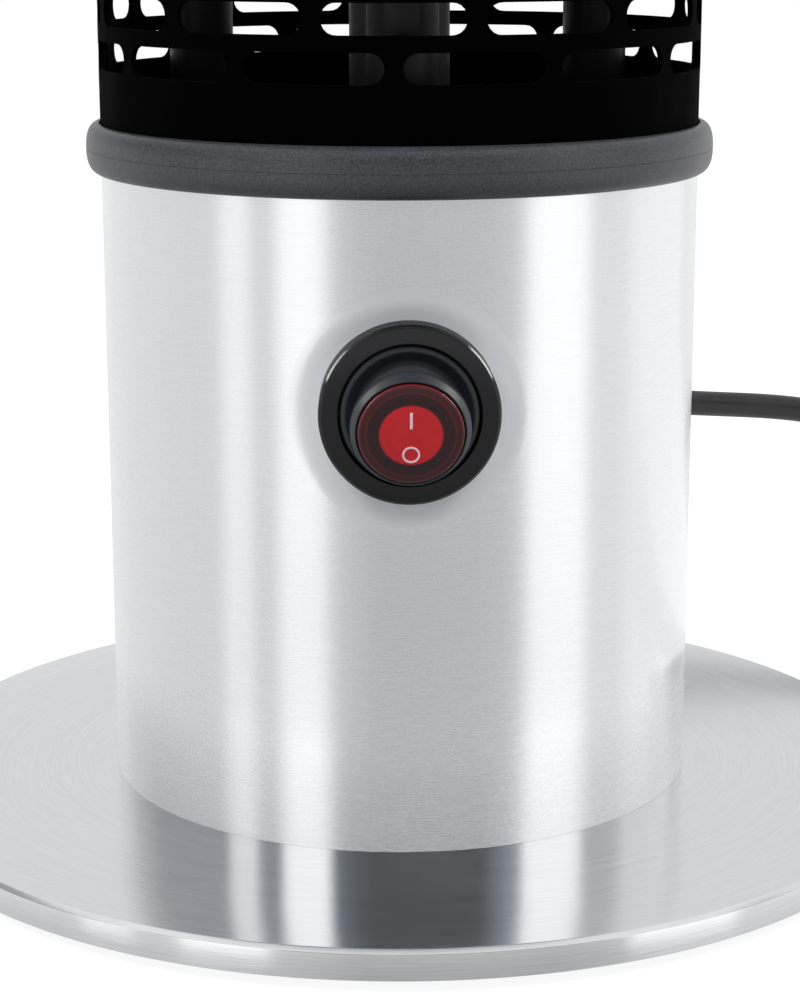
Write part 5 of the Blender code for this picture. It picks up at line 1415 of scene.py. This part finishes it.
def makePlug(facts, end):  # local +Z points forwards, along the pins
    forwards = Matrix.Translation((end.x, end.y - facts["gap"], end.z)) @ Matrix.Rotation(math.pi / 2, 4, "X")
    thin, wide, length = facts["tip"], facts["root"], facts["relief"]
    cone = soften([
        (0.0, 0.0), (thin - 0.0004, 0.0, 0.0005), (wide - 0.0006, length, 0.0006), (0.0, length),
    ], steps=4)
    relief = makeRelief(
        "plugRelief", spinMesh(cone, 64), facts["ribSwell"], plugBlack, forwards,
        count=facts["ribs"], start=0.004, spacing=(length - 0.008) / (facts["ribs"] - 1),
        firstRadius=thin - 0.0001, lastRadius=wide - 0.0008,
    )
    settle(relief, "heater", "plug_black", "plug_relief")

    back, radius, bevel = length + facts["gap"], facts["front"], facts["bevel"]
    front = back + facts["body"]
    shoulder = front - facts["rim"]
    middle = back + (shoulder - back) / 2
    waist = facts["back"] + (radius - facts["back"]) / 3
    outline = soften([
        (0.0, back), (facts["back"], back, 0.0015), (waist, middle, 0.006),
        (radius - bevel, shoulder, 0.0012), (radius, shoulder + bevel, 0.0008),
        (radius, front - bevel, 0.0010), (radius - bevel, front, 0.0008), (0.0, front),
    ])
    body = spin("plugBody", outline, 128, plugBlack, place=forwards)
    tools = []
    for side in (-1, 1):
        bm = bmesh.new()
        bmesh.ops.create_cube(bm, size=1.0)
        spot = Matrix.Translation((0, side * radius, front - facts["notchDepth"]))
        place = forwards @ spot @ Matrix.Diagonal((*facts["notch"], 1.0))
        bmesh.ops.transform(bm, matrix=place, verts=bm.verts[:])
        tools.append(meshObject("notch", bm, plugBlack))
    carve(body, tools)
    settle(body, "heater", "plug_black", "plug_body")

    face, thick = front + facts["gap"], facts["pin"]
    tip = face + facts["pinLength"]
    pin = soften([
        (0.0, face), (thick, face), (thick, tip - 0.001, 0.0012), (thick - 0.001, tip, 0.0008), (0.0, tip),
    ])
    pins = []
    for number, side in ((1, -1), (2, 1)):
        place = forwards @ Matrix.Translation((side * facts["pinSpread"] / 2, 0, 0))
        made = spin(f"plugPin{number}", pin, 40, brightNut, place=place)
        pins.append(settle(made, "heater", "pin_metal", f"plug_pin_{number}"))
    return [relief, body, *pins]


plugPieces = makePlug(plugFacts, leadPoints[-1])
print("stage: plug")


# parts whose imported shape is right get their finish

carried = {
    rawSteel: ["base_weight"],
    zincSteel: ["housing_floor", "chassis_bracket", "tilt_case", "tilt_pendulum", "tilt_pin", "tie_rod_1",
                "tie_rod_2", "tie_rod_3", "lid_stud", "rocker_pin", "thermal_cutout"],
    elementCeramic: ["terminal_block", "lower_element_holder", "upper_element_holder", "heating_core"],
    cageBlack: ["deck", "top_plate"],
    switchBlack: ["switch_nut", "gland_nut", "tilt_micro_switch"],
    cordRubber: ["supply_tail"],
    wireBrown: ["wire_live"],
    wireBlack: ["wire_switched"],
    wireBlue: ["wire_neutral"],
}
for finish, names in carried.items():
    for name in names:
        for slot in cadNodes[name].material_slots:
            slot.material = finish
print("stage: carried parts")


# studio: pale floor, soft lamps, and a screen that only polished metal sees

studioFacts = {
    "floorSize": 6.0, "floorGlow": 0.885, "floorPaint": 0.20, "worldLight": 0.80,
    "radius": 2.5, "low": -1.6, "high": 2.6, "level": (-0.15, 0.0), "levelTone": 0.95,
    "horizon": (0.42, 0.56), "coolTone": (0.74, 0.90, 1.20), "coolSpan": (0.05, 0.45),
    # bearings in degrees, 0 towards the camera and positive to the right, each with the tone there
    "lowTones": [(-180, 0.92), (-125, 0.86), (-55, 0.80), (-25, 0.72), (-10, 0.58), (35, 0.61), (60, 0.80),
                 (80, 0.92), (180, 0.92)],
    "highTones": [(-180, 0.78), (-145, 0.78), (-130, 0.56), (-110, 0.38), (-80, 0.38), (-40, 0.26),
                  (-13, 0.02), (30, 0.02), (42, 0.30), (76, 0.55), (95, 0.58), (145, 0.76), (180, 0.78)],
    # start, end and share of each panel
    "panels": [(-72, -59, 0.68), (-48, -28.5, 1.0), (46.5, 73.5, 1.0), (95, 135, 0.35)],
    "panelSoft": 1.5, "panelTone": 1.32, "panelLow": -1.0, "lowDim": 0.76, "upper": (1.8, 2.2),
    "upperTone": 0.90, "zenith": (1.5, 0.9), "zenithTone": 0.22, "zenithLevel": 2.0,
    "cardLevel": 0.0425, "cardSpan": ((0.085, -0.03), (0.36, 0.30)),
}


def bareMaterial(name):
    made = bpy.data.materials.new(name)
    made.use_nodes = True
    made.node_tree.nodes.clear()
    return made, made.node_tree


def seenRays(tree):  # 1 for what the camera sees, also in mirrors and through glass
    light = addNode(tree, "ShaderNodeLightPath").outputs
    direct = calc(tree, "MAXIMUM", light["Is Camera Ray"], light["Is Glossy Ray"])
    return calc(tree, "MAXIMUM", direct, light["Is Transmission Ray"])


def makeFloor(facts):
    half = facts["floorSize"] / 2
    made, tree = bareMaterial("floorPaint")
    strength = calc(tree, "MULTIPLY", seenRays(tree), facts["floorGlow"])
    glow = addNode(tree, "ShaderNodeEmission", {"Color": (1, 1, 1, 1), "Strength": strength})
    paint = addNode(tree, "ShaderNodeBsdfDiffuse", {"Color": (*(facts["floorPaint"],) * 3, 1)})
    both = addNode(tree, "ShaderNodeAddShader", {0: glow.outputs[0], 1: paint.outputs[0]})
    addNode(tree, "ShaderNodeOutputMaterial", {"Surface": both.outputs[0]})
    corners = ((-half, -half), (half, -half), (half, half), (-half, half))
    floor = meshObject("floor", flatSheet(corners, 0.0), made)
    floor.visible_glossy = False
    return floor


def makeScreenLight(name, facts, oneSided=False):  # soft tones round the studio, and four light panels
    made, tree = bareMaterial(name)
    x, y, z = splitOf(tree, addNode(tree, "ShaderNodeTexCoord").outputs["Object"])
    bearing = calc(tree, "ARCTAN2", x, calc(tree, "MULTIPLY", y, -1.0))
    turn = calc(tree, "MULTIPLY_ADD", bearing, 0.5 / math.pi, 0.5)

    def around(tones):
        return ramp(tree, turn, [((angle + 180) / 360, (tone,) * 3) for angle, tone in tones])

    def rising(span, start=0.0):  # up the wall
        return remap(tree, z, start, 1.0, *span)

    soft, low = facts["panelSoft"], facts["panelLow"] - 0.05
    edges = [(-180, 0.0)]
    for start, end, share in facts["panels"]:
        edges += [(start - soft, 0.0), (start + soft, share), (end - soft, share), (end + soft, 0.0)]
    panels = calc(tree, "MULTIPLY", around(edges + [(180, 0.0)]), rising((low, low + 0.1)))
    level = mixTone(tree, rising(facts["level"]), around(facts["lowTones"]), facts["levelTone"])
    wall = mixTone(tree, rising(facts["horizon"]), level, around(facts["highTones"]))
    wall = calc(tree, "MULTIPLY", wall, rising((low, low + 0.2), facts["lowDim"]))
    lit = mixTone(tree, panels, wall, facts["panelTone"])
    tone = mixTone(tree, rising(facts["upper"]), lit, facts["upperTone"])
    overhead = remap(tree, lengthOf(tree, x, y), 0.0, 1.0, *facts["zenith"])
    overhead = calc(tree, "MULTIPLY", overhead, calc(tree, "GREATER_THAN", z, facts["zenithLevel"]))
    tone = mixTone(tree, overhead, tone, facts["zenithTone"])
    shade = tint(tree, remap(tree, tone, 0.0, 1.0, *facts["coolSpan"]), facts["coolTone"], (1.0, 1.0, 1.0))
    glow = addNode(tree, "ShaderNodeEmission", {"Color": shade, "Strength": tone})
    if oneSided:
        back = addNode(tree, "ShaderNodeNewGeometry").outputs["Backfacing"]
        clear = addNode(tree, "ShaderNodeBsdfTransparent")
        glow = addNode(tree, "ShaderNodeMixShader", {0: back, 1: glow.outputs[0], 2: clear.outputs[0]})
    addNode(tree, "ShaderNodeOutputMaterial", {"Surface": glow.outputs[0]})
    return made


def makeScreens(facts):
    low, high, radius = facts["low"], facts["high"], facts["radius"]
    wall = spinMesh([(0.0, low), (radius, low), (radius, high), (0.0, high)], 180)
    drum = meshObject("studioScreen", wall, makeScreenLight("screenLight", facts))
    # a card over the coiled lead keeps it out of the housing's reflections
    (west, south), (east, north) = facts["cardSpan"]
    sheet = flatSheet(((west, south), (east, south), (east, north), (west, north)), facts["cardLevel"])
    card = meshObject("coilCard", sheet, makeScreenLight("cardLight", facts, True))
    for screen in (drum, card):
        for ray in ("camera", "diffuse", "transmission", "volume_scatter", "shadow"):
            setattr(screen, "visible_" + ray, False)
    return drum, card


lampFacts = {  # name, place, size and watts of each
    "broad": [("keyLamp", (-1.5, -1.1, 2.3), (1.0, 0.6), 38),
              ("fillLamp", (1.55, -0.85, 2.3), (0.9, 0.6), 28),
              ("topLamp", (0.1, 0.3, 2.2), (1.8, 1.8), 20)],
    "broadAim": (0, 0, 0.15),
    # two narrow upright lamps that only the switch catches
    "glints": [("glintLampLeft", (-1.78, -0.2, 1.03), (0.22, 0.9), 14),
               ("glintLampRight", (1.78, -0.2, 1.03), (0.22, 0.9), 14)],
    "glintAim": (0, -0.08, 0.125),
    "glintPieces": ("switchBezelRing", "rockerCap", "lensCap"),
}


def addLamp(aim, name, place, size, watts):
    data = bpy.data.lights.new(name, "AREA")
    data.shape = "RECTANGLE"
    data.size, data.size_y = size
    data.energy = watts
    made = link(name, data)
    made.location = place
    made.rotation_euler = (Vector(aim) - Vector(place)).to_track_quat("-Z", "Y").to_euler()
    return made


def makeLamps(facts):
    for numbers in facts["broad"]:
        addLamp(facts["broadAim"], *numbers).visible_glossy = False
    switchGroup = bpy.data.collections.new("switchGroup")
    for name in facts["glintPieces"]:
        switchGroup.objects.link(bpy.data.objects[name])
    for numbers in facts["glints"]:
        addLamp(facts["glintAim"], *numbers).light_linking.receiver_collection = switchGroup


def makeWorld(facts):
    world = bpy.data.worlds.new("studio")
    scene.world = world
    world.use_nodes = True
    tree = world.node_tree
    tree.nodes.clear()
    strength = mixTone(tree, seenRays(tree), facts["worldLight"], 1.0)
    back = addNode(tree, "ShaderNodeBackground", {"Color": (1, 1, 1, 1), "Strength": strength})
    addNode(tree, "ShaderNodeOutputWorld", {"Surface": back.outputs[0]})


studioFloor = makeFloor(studioFacts)
studioScreen, coilCard = makeScreens(studioFacts)
makeLamps(lampFacts)
makeWorld(studioFacts)
scene.view_settings.view_transform = "Standard"
print("stage: studio")
